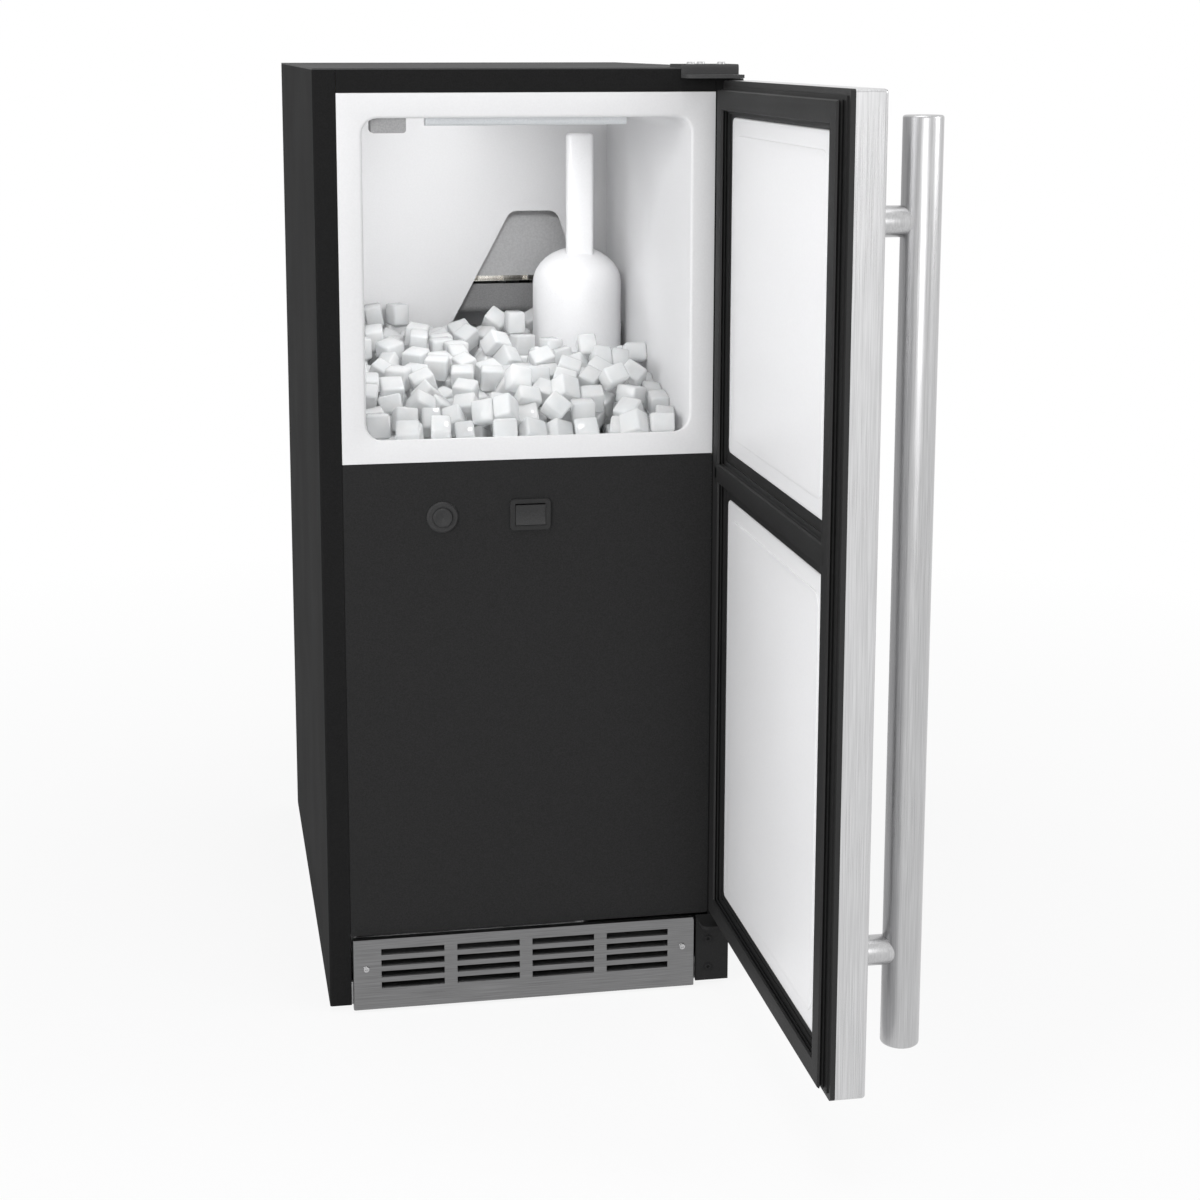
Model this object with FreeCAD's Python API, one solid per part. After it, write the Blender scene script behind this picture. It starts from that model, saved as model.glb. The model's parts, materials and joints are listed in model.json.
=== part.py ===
import FreeCAD, Part
import math
import os

# A built-in clear ice machine, 15 inches wide, with its right-hinged door standing open.
# Millimetres. X runs to the right, Y to the back, Z up from the floor. While the pieces are
# drawn, X is 0 on the cabinet's centre line and Y is 0 on the face of the cabinet.

# Cabinet
cabinet_width = 379.0
cabinet_height = 867.0
cabinet_depth = 570.0
sheet = 1.2
bend_radius = 2.0
seam = 0.3
floor_gap = 6.0
stile_width = 20.0
rear_flange = 15.0
roof_lip = 12.0
top_rail_height = 21.0
top_rail_depth = 18.0
base_wall = 22.0
base_setback = 2.0

# Bin
opening_height = 284.0
liner_flange = 22.0
liner_wall = 3.0
liner_corner = 8.0
bin_drop = 98.0
bin_floor_fall = 6.0
bin_front = 70.0
lip_drop = 30.0
lip_radius = 25.0
bin_radius = 20.0
foam_below = 32.0
foam_front = 32.0
foam_behind = 41.8
pipe_chase = 22.0

# Door
door_bottom = 75.0
door_top_gap = 11.0
door_open = 90.0
skin_depth = 25.0
skin = 1.0
skin_lip = 12.0
skin_edge = 3.0
door_frame_depth = 4.0
door_border_side = 36.0
door_border_top = 31.0
door_border_bottom = 34.0
crossbar_drop = 350.0
crossbar_height = 42.0
window_corner = 6.0
door_panel_rise = 2.0
gasket_depth = 8.5
gasket_inset = 5.0
gasket_width = 24.0
gasket_face_width = 18.0
gasket_base = 2.0
gasket_neck_width = 10.0
gasket_face = 4.0
gasket_edge = 1.2
gasket_gap = 0.5

# Handle
handle_radius = 15.5
handle_wall = 1.5
handle_end_gap = 22.0
handle_reach = 44.0
handle_inset = 52.0
post_inset = 78.0
post_radius = 12.0
cap_depth = 6.0
cap_rim = 1.5
cap_edge = 1.2

# Hinges
pivot_inset = 6.0
pivot_forward = 19.5
pin_radius = 3.5
pin_fit = 0.2
bush_wall = 1.2
bush_length = 24.0
hinge_plate = 3.0
hinge_width = 52.0
hinge_reach = 31.0
hinge_tail = 45.0
hinge_corner = 8.0
hinge_side_gap = 2.0
lower_hinge_drop = 65.0
pin_short = 2.0
hinge_clearance = 2.0
thrust_gap = 4.0

# Front panel and its controls
panel_bottom = 73.0
panel_return = 12.0
controls_drop = 51.0
rocker_x = 0.0
rocker_width = 27.0
rocker_height = 18.6
rocker_frame = 5.0
rocker_pocket = 12.0
rocker_proud = 4.0
rocker_pivot = 4.0
rocker_swing_room = 0.9
trunnion_radius = 1.6
trunnion_length = 1.5
rocker_dish = 1.2
rocker_taper = 1.3
rocker_side = 9.0
bezel_proud = 2.0
bezel_body = 24.0
bezel_corner = 4.0
bezel_edge = 1.2
button_x = -80.0
button_radius = 9.0
button_wall = 2.0
button_flange = 3.0
button_travel = 2.5
button_proud = 4.5
button_dish = 1.0
button_dish_radius = 6.8
button_edge = 1.0
control_fit = 0.3

# Toe grille
grille_side_gap = 1.5
grille_right = 34.0
grille_bottom = 3.0
grille_top = 71.0
grille_proud = 6.0
grille_rows = 4
grille_columns = 4
grille_side_margin = 26.0
grille_foot_margin = 20.0
slot_height = 6.0
slot_pitch = 10.8
slot_bridge = 12.0
louvre_depth = 6.0
louvre_rise = 4.0
louvre = 1.0

# Levelling legs
leg_inset = 32.0
leg_pad_radius = 16.0
leg_pad = 4.5
leg_pad_edge = 2.7
leg_stem_radius = 5.0
leg_stem = 34.0
leg_fit = 0.2
leg_nut_radius = 10.0
leg_nut = 8.0

# Ice maker at the back of the bin
ice_maker_depth = 107.0
cover_sheet = 3.0
cover_side_gap = 4.0
cover_top_gap = 7.0
cover_overhang = 10.0
cover_corner = 6.0
notch_left = -26.0
notch_top_left = 42.0
notch_top_right = 92.0
notch_height = 124.0
notch_corner = 12.0
cheek = 4.0
cheek_margin = 8.0
cheek_side_gap = 13.4
cheek_top_gap = 11.0
cell_columns = 9
cell_rows = 6
cell_depth = 18.0
cell_wall = 1.2
evaporator_setback = 39.0
coil_radius = 4.0
coil_passes = 4
coil_margin = 12.0
spreader_radius = 8.0
spreader_wall = 1.5
spreader_back = 8.0
spreader_gap = 2.0
spreader_slit = 2.0
curtain_setback = 27.0
curtain_sheet = 2.0
curtain_drop = 166.0
curtain_side_gap = 4.0
curtain_pivot_gap = 7.0
curtain_pin_radius = 2.5
trough_height = 32.0
trough_gap = 3.0
trough_lead = 2.0
trough_back_gap = 5.0
trough_wall = 2.0
trough_corner = 8.0
pump_offset = 51.5
pump_radius = 11.0
pump_volute = 14.0
pump_neck = 6.0
pump_motor_start = 40.0
pump_height = 84.0
hose_radius = 5.0
hose_bend = 6.0
hose_offset = 26.0

# Bin fittings and contents
light_length = 180.0
light_front = 10.0
light_depth = 16.0
light_height = 7.0
light_corner = 4.0
sensor_width = 31.0
sensor_front = 6.0
sensor_depth = 24.0
sensor_height = 13.0
sensor_corner = 3.0
probe_radius = 4.0
probe_length = 70.0
probe_y = 180.0
probe_drop = 174.0
ice_gap = 0.5
ice_front_drop = 8.0
ice_cover_gap = 10.7
ice_shelf = 8.0
ice_right_run = 84.0
ice_right_drop = 41.0
ice_round = 60.0
scoop_side_gap = 4.0
scoop_back_gap = 95.0
scoop_lift = 0.3
scoop_radius = 46.0
scoop_bowl = 104.0
scoop_wall = 2.0
scoop_shoulder = 22.0
scoop_handle_length = 118.0
scoop_handle_width = 28.0
scoop_handle_depth = 13.0
scoop_handle_setback = 10.0
scoop_handle_edge = 4.0

# Cooling machinery in the base
compressor_radius = 70.0
compressor_lift = 25.0
compressor_height = 160.0
compressor_foot = 75.0
compressor_plate = 3.0
compressor_base = 56.0
compressor_base_rise = 26.0
compressor_crown = 50.0
compressor_crown_drop = 30.0
weld_rise = 88.0
weld_height = 6.0
weld_proud = 2.0
compressor_side_gap = 28.0
compressor_back_gap = 64.0
mount_radius = 11.0
mount_inset = 12.0
terminal_width = 26.0
terminal_length = 50.0
terminal_height = 64.0
terminal_rise = 20.0
terminal_corner = 5.0
condenser_side_gap = 14.0
condenser_width = 220.0
condenser_y = 56.0
header_radius = 9.0
header_margin = 14.0
flat_tubes = 7
flat_tube = 2.0
flat_tube_depth = 16.0
flat_tube_start = 50.0
flat_tube_pitch = 29.0
fin_folds = 12
fin_rise = 1.6
fin_end_gap = 1.0
fan_radius = 70.0
fan_tip_gap = 4.0
fan_hub_radius = 17.0
fan_hub = 20.0
fan_blades = 5
blade = 2.0
blade_root = 12.0
blade_root_chord = 22.0
blade_root_angle = 40.0
blade_middle = 42.0
blade_middle_chord = 38.0
blade_middle_angle = 30.0
blade_tip = 66.0
blade_tip_chord = 46.0
blade_tip_angle = 20.0
fan_setback = 3.0
shroud_wall = 2.0
shroud_depth = 10.0
shroud_ring = 26.0
shroud_margin = 19.0
shroud_corner = 10.0
motor_radius = 32.0
motor_gap = 10.0
motor_length = 40.0
motor_edge = 6.0
shaft_radius = 3.0
bracket_half = 30.0
bracket_foot = 40.0
line_radius = 4.0
line_bend = 12.0
tight_bend = 5.0
drier_side_gap = 16.0
drier_end_gap = 35.0
drier_z = 60.0
drier_radius = 11.0
drier_length = 120.0
drier_stub = 8.0
drier_shoulder = 14.0
discharge_rise = 22.0
suction_rise = 120.0
box_left = -30.0
box_width = 140.0
box_height = 88.0
box_top_gap = 7.0
box_depth = 50.0
box_corner = 5.0

# Water and power connections on the back
rear_fitting = 18.0
valve_offset = 11.0
valve_z = 120.0
valve_half = 18.0
valve_depth = 34.0
valve_corner = 4.0
solenoid_radius = 14.4
inlet_radius = 13.0
inlet_neck = 12.0
inlet_relief = 1.5
inlet_bore = 5.0
outlet_radius = 5.0
outlet_length = 24.0
fill_rise = 60.0
fill_gap = 10.0
drain_x = -60.0
drain_back_gap = 65.0
drain_z = 80.0
drain_radius = 8.0
drain_bore = 5.5
drain_flange = 12.0
barb_length = 12.0
barb_step = 2.0
barb_root = 6.8
cord_hole_x = 120.0
cord_hole_z = 60.0
cord_bush_radius = 9.0
cord_bore = 4.5
cord_bush_tail = 8.0
cord_flange = 3.0
cord_flange_radius = 12.0

# Places worked out from the sizes above
half_width = cabinet_width / 2
roof_under = cabinet_height - sheet
rear_face = cabinet_depth - sheet
inner_half = half_width - sheet - seam
between_stiles = half_width - stile_width - seam
rail_bottom = cabinet_height - top_rail_height
flange_top = rail_bottom - seam
opening_top = flange_top - liner_flange
opening_bottom = opening_top - opening_height
flange_bottom = opening_bottom - liner_flange
bin_floor = opening_bottom - bin_drop
controls_z = flange_bottom - controls_drop
bin_half = between_stiles - liner_flange
base_floor = floor_gap + sheet
foam_bottom = bin_floor - liner_wall - foam_below
foam_back = rear_face - pipe_chase
bin_back = foam_back - foam_behind
chase_y = rear_face - pipe_chase / 2
gasket_front = -gasket_gap
frame_front = gasket_front - gasket_depth
skin_front = frame_front - door_frame_depth
door_face = skin_front - skin_depth
pivot_x = half_width - pivot_inset
pivot_y = -pivot_forward
handle_y = door_face - handle_reach
handle_x = -half_width + handle_inset
door_top = cabinet_height - door_top_gap
crossbar_middle = door_top - crossbar_drop
handle_middle = (door_bottom + door_top) / 2
handle_length = door_top - door_bottom - 2 * handle_end_gap
post_spacing = handle_length - 2 * post_inset
bush_radius = pin_radius + pin_fit + bush_wall
upper_leaf = door_top + hinge_clearance
lower_leaf = door_bottom - thrust_gap
cheek_top = opening_top - cheek_top_gap
cheek_x = bin_half - cheek_side_gap
between_cheeks = cheek_x - cheek - seam
cells_half = between_cheeks - cheek_margin
cell_pitch = 2 * cells_half / cell_columns
cover_front = bin_back - ice_maker_depth
cover_back = cover_front + cover_sheet
spreader_z = cheek_top - spreader_radius
evaporator_front = cover_back + evaporator_setback
evaporator_back = evaporator_front + cell_depth + cell_wall
evaporator_top = spreader_z - spreader_radius - spreader_gap
evaporator_bottom = evaporator_top - cell_rows * cell_pitch
spreader_y = evaporator_front + spreader_back
coil_y = evaporator_back + coil_radius + seam
coil_reach = cells_half - coil_margin
curtain_y = cover_back + curtain_setback
curtain_pivot = cheek_top - curtain_pivot_gap
trough_top = evaporator_bottom - trough_gap
trough_bottom = trough_top - trough_height
trough_front = evaporator_front - trough_lead
trough_back = bin_back - trough_back_gap
pump_x = cells_half - pump_offset
pump_y = trough_back - trough_corner - pump_radius
cover_bottom = trough_bottom - cover_overhang
scoop_x = bin_half - scoop_side_gap - scoop_radius
scoop_y = cover_front - scoop_back_gap
ice_front_top = opening_bottom - ice_front_drop
ice_back_top = cover_bottom - ice_cover_gap
ice_back_at = scoop_y - ice_shelf
probe_z = opening_top - probe_drop
scoop_z = ice_back_top + scoop_lift
compressor_x = inner_half - compressor_side_gap - compressor_foot
compressor_y = rear_face - compressor_back_gap - compressor_foot
compressor_bottom = base_floor + compressor_lift + compressor_plate
compressor_top = compressor_bottom + compressor_height
condenser_left = -inner_half + condenser_side_gap + header_radius
condenser_right = condenser_left + condenser_width
condenser_back = condenser_y + flat_tube_depth / 2
stack_top = flat_tube_start + (flat_tubes - 1) * flat_tube_pitch + flat_tube
header_top = stack_top + header_margin
fan_x = (condenser_left + condenser_right) / 2
fan_z = (flat_tube_start + stack_top) / 2
shroud_half = fan_radius + fan_tip_gap + shroud_wall + shroud_margin
shroud_back = condenser_back + seam + shroud_depth
fan_y = shroud_back + fan_setback
motor_front = fan_y + fan_hub + motor_gap
motor_back = motor_front + motor_length
drier_x = inner_half - drier_side_gap
drier_end = compressor_y - compressor_foot - drier_end_gap
drier_y = drier_end - drier_length
discharge_z = header_top + discharge_rise
suction_z = compressor_bottom + suction_rise
valve_x = -coil_reach - valve_offset
fill_z = trough_top + fill_rise
fill_end = trough_top + fill_gap
drain_y = bin_back - drain_back_gap
grille_back = base_setback - seam


def vec(x, y, z):
    return FreeCAD.Vector(x, y, z)


AXES = {"x": vec(1, 0, 0), "y": vec(0, 1, 0), "z": vec(0, 0, 1)}


def place(axis, a, b, along):
    """Point with two coordinates across an axis, in X, Y, Z order, and one along it."""
    if axis == "x":
        return vec(along, a, b)
    if axis == "y":
        return vec(a, along, b)
    return vec(a, b, along)


def rect(a0, b0, a1, b1):
    return [(a0, b0), (a1, b0), (a1, b1), (a0, b1)]


def corner_cut(before, corner, after, radius):
    """The two ends and the middle of the arc that rounds one corner."""
    to_before = (before - corner).normalize()
    to_after = (after - corner).normalize()
    half_angle = to_before.getAngle(to_after) / 2
    reach = radius / math.tan(half_angle)
    inward = (to_before + to_after).normalize()
    middle = corner + inward * (radius / math.sin(half_angle) - radius)
    return corner + to_before * reach, middle, corner + to_after * reach


def rounded_path(points, radii, closed):
    """Wire through corner points, with an arc at each corner that has a radius."""
    edges = []
    count = len(points)
    first = None
    last = None
    for i, (point, radius) in enumerate(zip(points, radii)):
        open_end = not closed and i in (0, count - 1)
        if radius > 0 and not open_end:
            start, middle, end = corner_cut(points[i - 1], point, points[(i + 1) % count], radius)
        else:
            start, middle, end = point, None, point
        if last is not None and last.distanceToPoint(start) > 1e-6:
            edges.append(Part.makeLine(last, start))
        if middle is not None:
            edges.append(Part.Arc(start, middle, end).toShape())
        if first is None:
            first = start
        last = end
    if closed and last.distanceToPoint(first) > 1e-6:
        edges.append(Part.makeLine(last, first))
    return Part.Wire(edges)


def prism(axis, outline, start, end, radius=0.0):
    """Outline across an axis pushed along it; radius is one value or one for each corner."""
    radii = radius if isinstance(radius, (list, tuple)) else [radius] * len(outline)
    points = [place(axis, a, b, start) for a, b in outline]
    return Part.Face(rounded_path(points, radii, True)).extrude(AXES[axis] * (end - start))


def rod(axis, centre, radius, start, end):
    return Part.makeCylinder(radius, end - start, place(axis, *centre, start), AXES[axis])


def drill(axis, centre, radius, start, end):
    """Cutting rod that runs a millimetre past both faces."""
    return rod(axis, centre, radius, start - 1, end + 1)


def punch(axis, outline, start, end, radius=0.0):
    """Cutting prism that runs a millimetre past both faces."""
    return prism(axis, outline, start - 1, end + 1, radius)


def grown(outline, gap):
    """Rectangle with every side moved outwards."""
    (a0, b0), _, (a1, b1), _ = outline
    return rect(a0 - gap, b0 - gap, a1 + gap, b1 + gap)


def turned(axis, centre, profile, sweep=360):
    """Solid of revolution about an axis; profile points are (radius, place along the axis)."""
    base = place(axis, *centre, 0)
    out = AXES["y"] if axis == "x" else AXES["x"]
    points = [base + out * r + AXES[axis] * along for r, along in profile]
    return Part.Face(Part.makePolygon(points + points[:1])).revolve(base, AXES[axis], sweep)


def tube(points, radius, bend):
    """Round tube along corner points, drawn through rings set square across its path."""
    corners = [vec(*p) for p in points]
    at = corners[0]
    ring = Part.Wire(Part.makeCircle(radius, at, corners[1] - at))
    rings = [ring]
    for before, corner, after in zip(corners, corners[1:], corners[2:]):
        enter, _, leave = corner_cut(before, corner, after, bend)
        heading = (corner - before).normalize()
        axis = heading.cross(after - corner).normalize()
        centre = enter + axis.cross(heading) * bend
        half_turn = math.degrees(heading.getAngle(after - corner)) / 2
        ring = ring.translated(enter - at)
        middle = ring.rotated(centre, axis, half_turn)
        leaving = middle.rotated(centre, axis, half_turn)
        rings += [ring, middle, leaving]
        ring = leaving
        at = leave
    rings.append(ring.translated(corners[-1] - at))
    return Part.makeLoft(rings, True, True)


def union(shapes):
    return shapes[0].fuse(shapes[1:]).removeSplitter()


def edges_at(shape, chosen):
    return [edge for edge in shape.Edges if chosen(edge.CenterOfMass)]


def fillet(shape, radius, chosen):
    return shape.makeFillet(radius, edges_at(shape, chosen))


def chamfer(shape, leg, chosen):
    return shape.makeChamfer(leg, edges_at(shape, chosen))


def mirrored(shape):
    return shape.mirror(vec(0, 0, 0), AXES["x"])


def near(a, b):
    return abs(a - b) < 1e-4


# Cabinet


def side_panel(side):
    """Folded steel side, with the front stile and the rear flange turned inwards."""
    outer = side * half_width
    outline = [
        (outer, 0),
        (outer - side * stile_width, 0),
        (outer - side * stile_width, sheet),
        (outer - side * sheet, sheet),
        (outer - side * sheet, rear_face - sheet),
        (outer - side * rear_flange, rear_face - sheet),
        (outer - side * rear_flange, rear_face),
        (outer, rear_face),
    ]
    bends = [bend_radius, 0, 0, 0, 0, 0, 0, bend_radius]
    return prism("z", outline, floor_gap, roof_under, bends)


def top_panel():
    """Flat steel roof with lips that drop inside the two sides and the back."""
    outline = rect(-half_width, 0, half_width, cabinet_depth)
    roof = prism("z", outline, roof_under, cabinet_height, bend_radius)
    lip_front = top_rail_depth + seam
    lip_back = rear_face - sheet - seam
    lips = [
        (-inner_half, lip_front),
        (-inner_half + sheet, lip_front),
        (-inner_half + sheet, lip_back - sheet),
        (inner_half - sheet, lip_back - sheet),
        (inner_half - sheet, lip_front),
        (inner_half, lip_front),
        (inner_half, lip_back),
        (-inner_half, lip_back),
    ]
    return union([roof, prism("z", lips, roof_under - roof_lip, roof_under)])


def top_rail():
    """Black channel across the top of the face."""
    outline = [
        (0, rail_bottom),
        (top_rail_depth, rail_bottom),
        (top_rail_depth, rail_bottom + sheet),
        (sheet, rail_bottom + sheet),
        (sheet, roof_under - sheet),
        (top_rail_depth, roof_under - sheet),
        (top_rail_depth, roof_under),
        (0, roof_under),
    ]
    return prism("x", outline, -between_stiles, between_stiles)


def back_panel():
    """Flat back with holes for the water inlet, the drain and the power cord."""
    outline = rect(-half_width, floor_gap, half_width, roof_under)
    plate = prism("y", outline, rear_face, cabinet_depth, bend_radius)
    fittings = [
        (valve_x, valve_z, inlet_radius),
        (drain_x, drain_z, drain_radius),
        (cord_hole_x, cord_hole_z, cord_bush_radius),
    ]
    return plate.cut([drill("y", (x, z), r + seam, rear_face, cabinet_depth) for x, z, r in fittings])


def leg_places():
    back = rear_face - leg_inset
    return {
        "front_left": (-half_width + leg_inset, leg_inset),
        "front_right": (half_width - leg_inset, leg_inset),
        "rear_left": (-half_width + leg_inset, back),
        "rear_right": (half_width - leg_inset, back),
    }


def base_pan():
    """Folded steel tray that carries the machinery, with a welded nut for each leg."""
    outline = rect(-inner_half, base_setback, inner_half, rear_face - sheet - seam)
    top = floor_gap + base_wall
    pan = prism("z", outline, floor_gap, top)
    pan = pan.cut(prism("z", grown(outline, -sheet), base_floor, top + sheet))
    corners = leg_places().values()
    flats = [k * math.pi / 3 for k in range(6)]
    hexagon = [(leg_nut_radius * math.cos(a), leg_nut_radius * math.sin(a)) for a in flats]
    nut_top = base_floor + leg_nut
    nuts = [prism("z", [(x + a, y + b) for a, b in hexagon], base_floor, nut_top) for x, y in corners]
    holes = [drill("z", corner, leg_stem_radius + leg_fit, floor_gap, nut_top) for corner in corners]
    return union([pan] + nuts).cut(holes)


def levelling_leg(centre):
    """Threaded stem on a round glide."""
    profile = [
        (0, 0),
        (leg_pad_radius, 0),
        (leg_pad_radius, leg_pad_edge),
        (leg_stem_radius, leg_pad),
        (leg_stem_radius, leg_stem),
        (0, leg_stem),
    ]
    return turned("z", centre, profile)


# Bin


def bin_space(gap=0.0):
    """Inside of the bin, from the face of the cabinet to its back wall, less a gap all round."""
    outline = [
        (0, opening_top - gap),
        (bin_back - gap, opening_top - gap),
        (bin_back - gap, bin_floor + gap),
        (bin_front + gap, bin_floor + bin_floor_fall + gap),
        (bin_front + gap, opening_bottom - lip_drop + gap),
        (0, opening_bottom + gap),
    ]
    inward = bin_radius - gap
    half = bin_half - gap
    space = prism("x", outline, -half, half, [0, inward, inward, inward, lip_radius + gap, 0])
    return chamfer(space, liner_corner, lambda c: near(abs(c.x), half) and c.y > seam)


def wall_holes():
    """Ways through the back of the bin and its foam for the coil's two ends and the fill tube."""
    ways = [
        (coil_reach, coil_levels()[0], coil_radius),
        (coil_reach, coil_levels()[-1], coil_radius),
        (valve_x, fill_z, line_radius),
    ]
    return [drill("y", (x, z), r + seam, bin_back, foam_back) for x, z, r in ways]


def drain_hole():
    return drill("z", (drain_x, drain_y), drain_radius + seam, foam_bottom, bin_floor + bin_floor_fall)


def bin_liner():
    """White moulded bin with a flat flange round its mouth."""
    flange = rect(-between_stiles, flange_bottom, between_stiles, flange_top)
    walls = union([bin_space(-liner_wall), prism("y", flange, 0, liner_wall)])
    return walls.cut([bin_space(), drain_hole()] + wall_holes())


def insulation():
    """Foam between the bin and the cabinet, with a chase left open behind it for the pipes."""
    half = inner_half - sheet - seam
    rail_back = top_rail_depth + seam
    outline = [
        (liner_wall, flange_bottom),
        (liner_wall, flange_top),
        (rail_back, flange_top),
        (rail_back, roof_under - seam),
        (foam_back, roof_under - seam),
        (foam_back, foam_bottom),
        (foam_front, foam_bottom),
        (foam_front, flange_bottom),
    ]
    block = prism("x", outline, -half, half)
    return block.cut([bin_space(-liner_wall - seam), drain_hole()] + wall_holes())


# Ice maker


def coil_levels():
    spread = cell_rows * cell_pitch - 4 * coil_radius
    step = spread / (coil_passes - 1)
    return [evaporator_top - 2 * coil_radius - k * step for k in range(coil_passes)]


def ice_maker_cheeks():
    """Two white end plates, fixed to the back wall, that carry the rest of the ice maker."""
    outline = rect(cover_back, trough_bottom, bin_back, cheek_top)
    inner_face = cheek_x - cheek
    plate = prism("x", outline, inner_face, cheek_x, [cover_corner, 0, bin_radius, cover_corner])
    pin_hole = drill("x", (curtain_y, curtain_pivot), curtain_pin_radius + pin_fit, inner_face, cheek_x)
    right = plate.cut(pin_hole)
    return Part.makeCompound([mirrored(right), right])


def evaporator_cover():
    """White cover in front of the ice maker; finished cubes drop through its notch."""
    half = bin_half - cover_side_gap
    top = opening_top - cover_top_gap
    plate = prism("y", rect(-half, cover_bottom, half, top), cover_front, cover_back, cover_corner)
    notch_bottom = cover_bottom - cover_sheet
    notch_top = cover_bottom + notch_height
    notch = [
        (notch_left, notch_bottom),
        (half - cover_corner, notch_bottom),
        (notch_top_right, notch_top),
        (notch_top_left, notch_top),
    ]
    return plate.cut(punch("y", notch, cover_front, cover_back, [0, 0, notch_corner, notch_corner]))


def evaporator_grid():
    """Plated ice plate: a flat back with a waffle of upright cells in front."""
    wall_back = evaporator_front + cell_depth
    plate = rect(-between_cheeks, evaporator_bottom, between_cheeks, evaporator_top)
    waffle = rect(-cells_half, evaporator_bottom, cells_half, evaporator_top)
    cells = []
    for column in range(cell_columns):
        for row in range(cell_rows):
            x = -cells_half + column * cell_pitch
            z = evaporator_bottom + row * cell_pitch
            cell = rect(x, z, x + cell_pitch, z + cell_pitch)
            cells.append(prism("y", grown(cell, -cell_wall / 2), evaporator_front - cell_wall, wall_back))
    grid = prism("y", waffle, evaporator_front, wall_back).cut(cells)
    return union([grid, prism("y", plate, wall_back, evaporator_back)])


def evaporator_coil():
    """Copper tube soldered in a serpentine to the back of the ice plate."""
    levels = coil_levels()
    end_y = foam_back + seam
    points = [(coil_reach, end_y, levels[0])]
    for k, level in enumerate(levels):
        side = coil_reach if k % 2 == 0 else -coil_reach
        points += [(side, coil_y, level), (-side, coil_y, level)]
    points.append((points[-1][0], end_y, levels[-1]))
    return tube(points, coil_radius, line_bend)


def water_distributor():
    """Tube along the top of the ice plate, slit underneath so that it wets the cells."""
    centre = (spreader_y, spreader_z)
    end = between_cheeks - spreader_wall
    outer = rod("x", centre, spreader_radius, -between_cheeks, between_cheeks)
    bore = rod("x", centre, spreader_radius - spreader_wall, -end, end)
    half = spreader_slit / 2
    under = spreader_z - spreader_radius
    slit = rect(spreader_y - half, under - spreader_wall, spreader_y + half, spreader_z)
    return outer.cut([bore, prism("x", slit, -cells_half, cells_half)])


def water_curtain():
    """Loose flap in front of the ice plate, hung on two pins, that the falling ice pushes open."""
    half = between_cheeks - curtain_side_gap
    low = curtain_pivot - curtain_drop
    flap = prism(
        "y",
        rect(-half, low, half, curtain_pivot),
        curtain_y - curtain_sheet / 2,
        curtain_y + curtain_sheet / 2,
        [cover_corner, cover_corner, 0, 0],
    )
    end = cheek_x - seam
    axle = rod("x", (curtain_y, curtain_pivot), curtain_pin_radius, -end, end)
    return union([flap, axle])


def water_trough():
    """Open tray under the ice plate that the circulating water runs back into."""
    half = between_cheeks
    outside = rect(trough_front, trough_bottom, trough_back, trough_top)
    outer = prism("x", outside, -half, half, [trough_corner, trough_corner, 0, 0])
    half -= trough_wall
    front = trough_front + trough_wall
    back = trough_back - trough_wall
    inside = rect(front, trough_bottom + trough_wall, back, trough_top + trough_wall)
    corner = trough_corner - trough_wall
    return outer.cut(prism("x", inside, -half, half, [corner, corner, 0, 0]))


def circulation_pump():
    """Upright pump whose volute stands on the floor of the trough."""
    low = trough_bottom + trough_wall
    profile = [
        (0, low),
        (pump_radius, low),
        (pump_radius, low + pump_volute),
        (pump_neck, low + pump_volute),
        (pump_neck, low + pump_motor_start),
        (pump_radius, low + pump_motor_start),
        (pump_radius, low + pump_height),
        (0, low + pump_height),
    ]
    return turned("z", (pump_x, pump_y), profile)


def water_tubes():
    """Pump hose, fill tube and drain tube."""
    volute_z = trough_bottom + trough_wall + pump_volute / 2
    hose = tube(
        [
            (pump_x - pump_radius - seam, pump_y, volute_z),
            (pump_x - hose_offset, pump_y, volute_z),
            (pump_x - hose_offset, pump_y, spreader_z),
            (pump_x - hose_offset, spreader_y + spreader_radius + seam, spreader_z),
        ],
        hose_radius,
        hose_bend,
    )
    fill = tube(
        [
            (valve_x, chase_y, valve_z + valve_half + outlet_length + seam),
            (valve_x, chase_y, fill_z),
            (valve_x, pump_y, fill_z),
            (valve_x, pump_y, fill_end),
        ],
        line_radius,
        line_bend,
    )
    drain = tube(
        [
            (drain_x, drain_y, bin_floor - liner_wall),
            (drain_x, drain_y, drain_z),
            (drain_x, foam_back, drain_z),
        ],
        drain_radius,
        line_bend,
    )
    return Part.makeCompound([hose, fill, drain])


# Bin fittings and contents


def bin_light():
    """Light bar under the roof of the bin."""
    low = opening_top - light_height
    bar = rect(light_front, low, light_front + light_depth, opening_top)
    end = light_length / 2
    return prism("x", bar, -end, end, [light_corner, light_corner, 0, 0])


def door_sensor():
    """Small dark switch housing in the upper left corner of the mouth."""
    low = opening_top - sensor_height
    left = -bin_half + liner_corner + seam
    outline = rect(left, low, left + sensor_width, opening_top)
    corners = [sensor_corner, sensor_corner, 0, 0]
    return prism("y", outline, sensor_front, sensor_front + sensor_depth, corners)


def bin_probe():
    """Full-bin feeler tube in its saddle on the left wall."""
    x = -bin_half + probe_radius + liner_wall
    feeler = rod("y", (x, probe_z), probe_radius, probe_y, probe_y + probe_length)
    wall = -bin_half
    saddle = rect(wall, probe_z - 2 * probe_radius, x, probe_z + 2 * probe_radius)
    middle = probe_y + probe_length / 2
    clip = prism("y", saddle, middle - probe_radius, middle + probe_radius)
    return union([feeler, clip])


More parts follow.
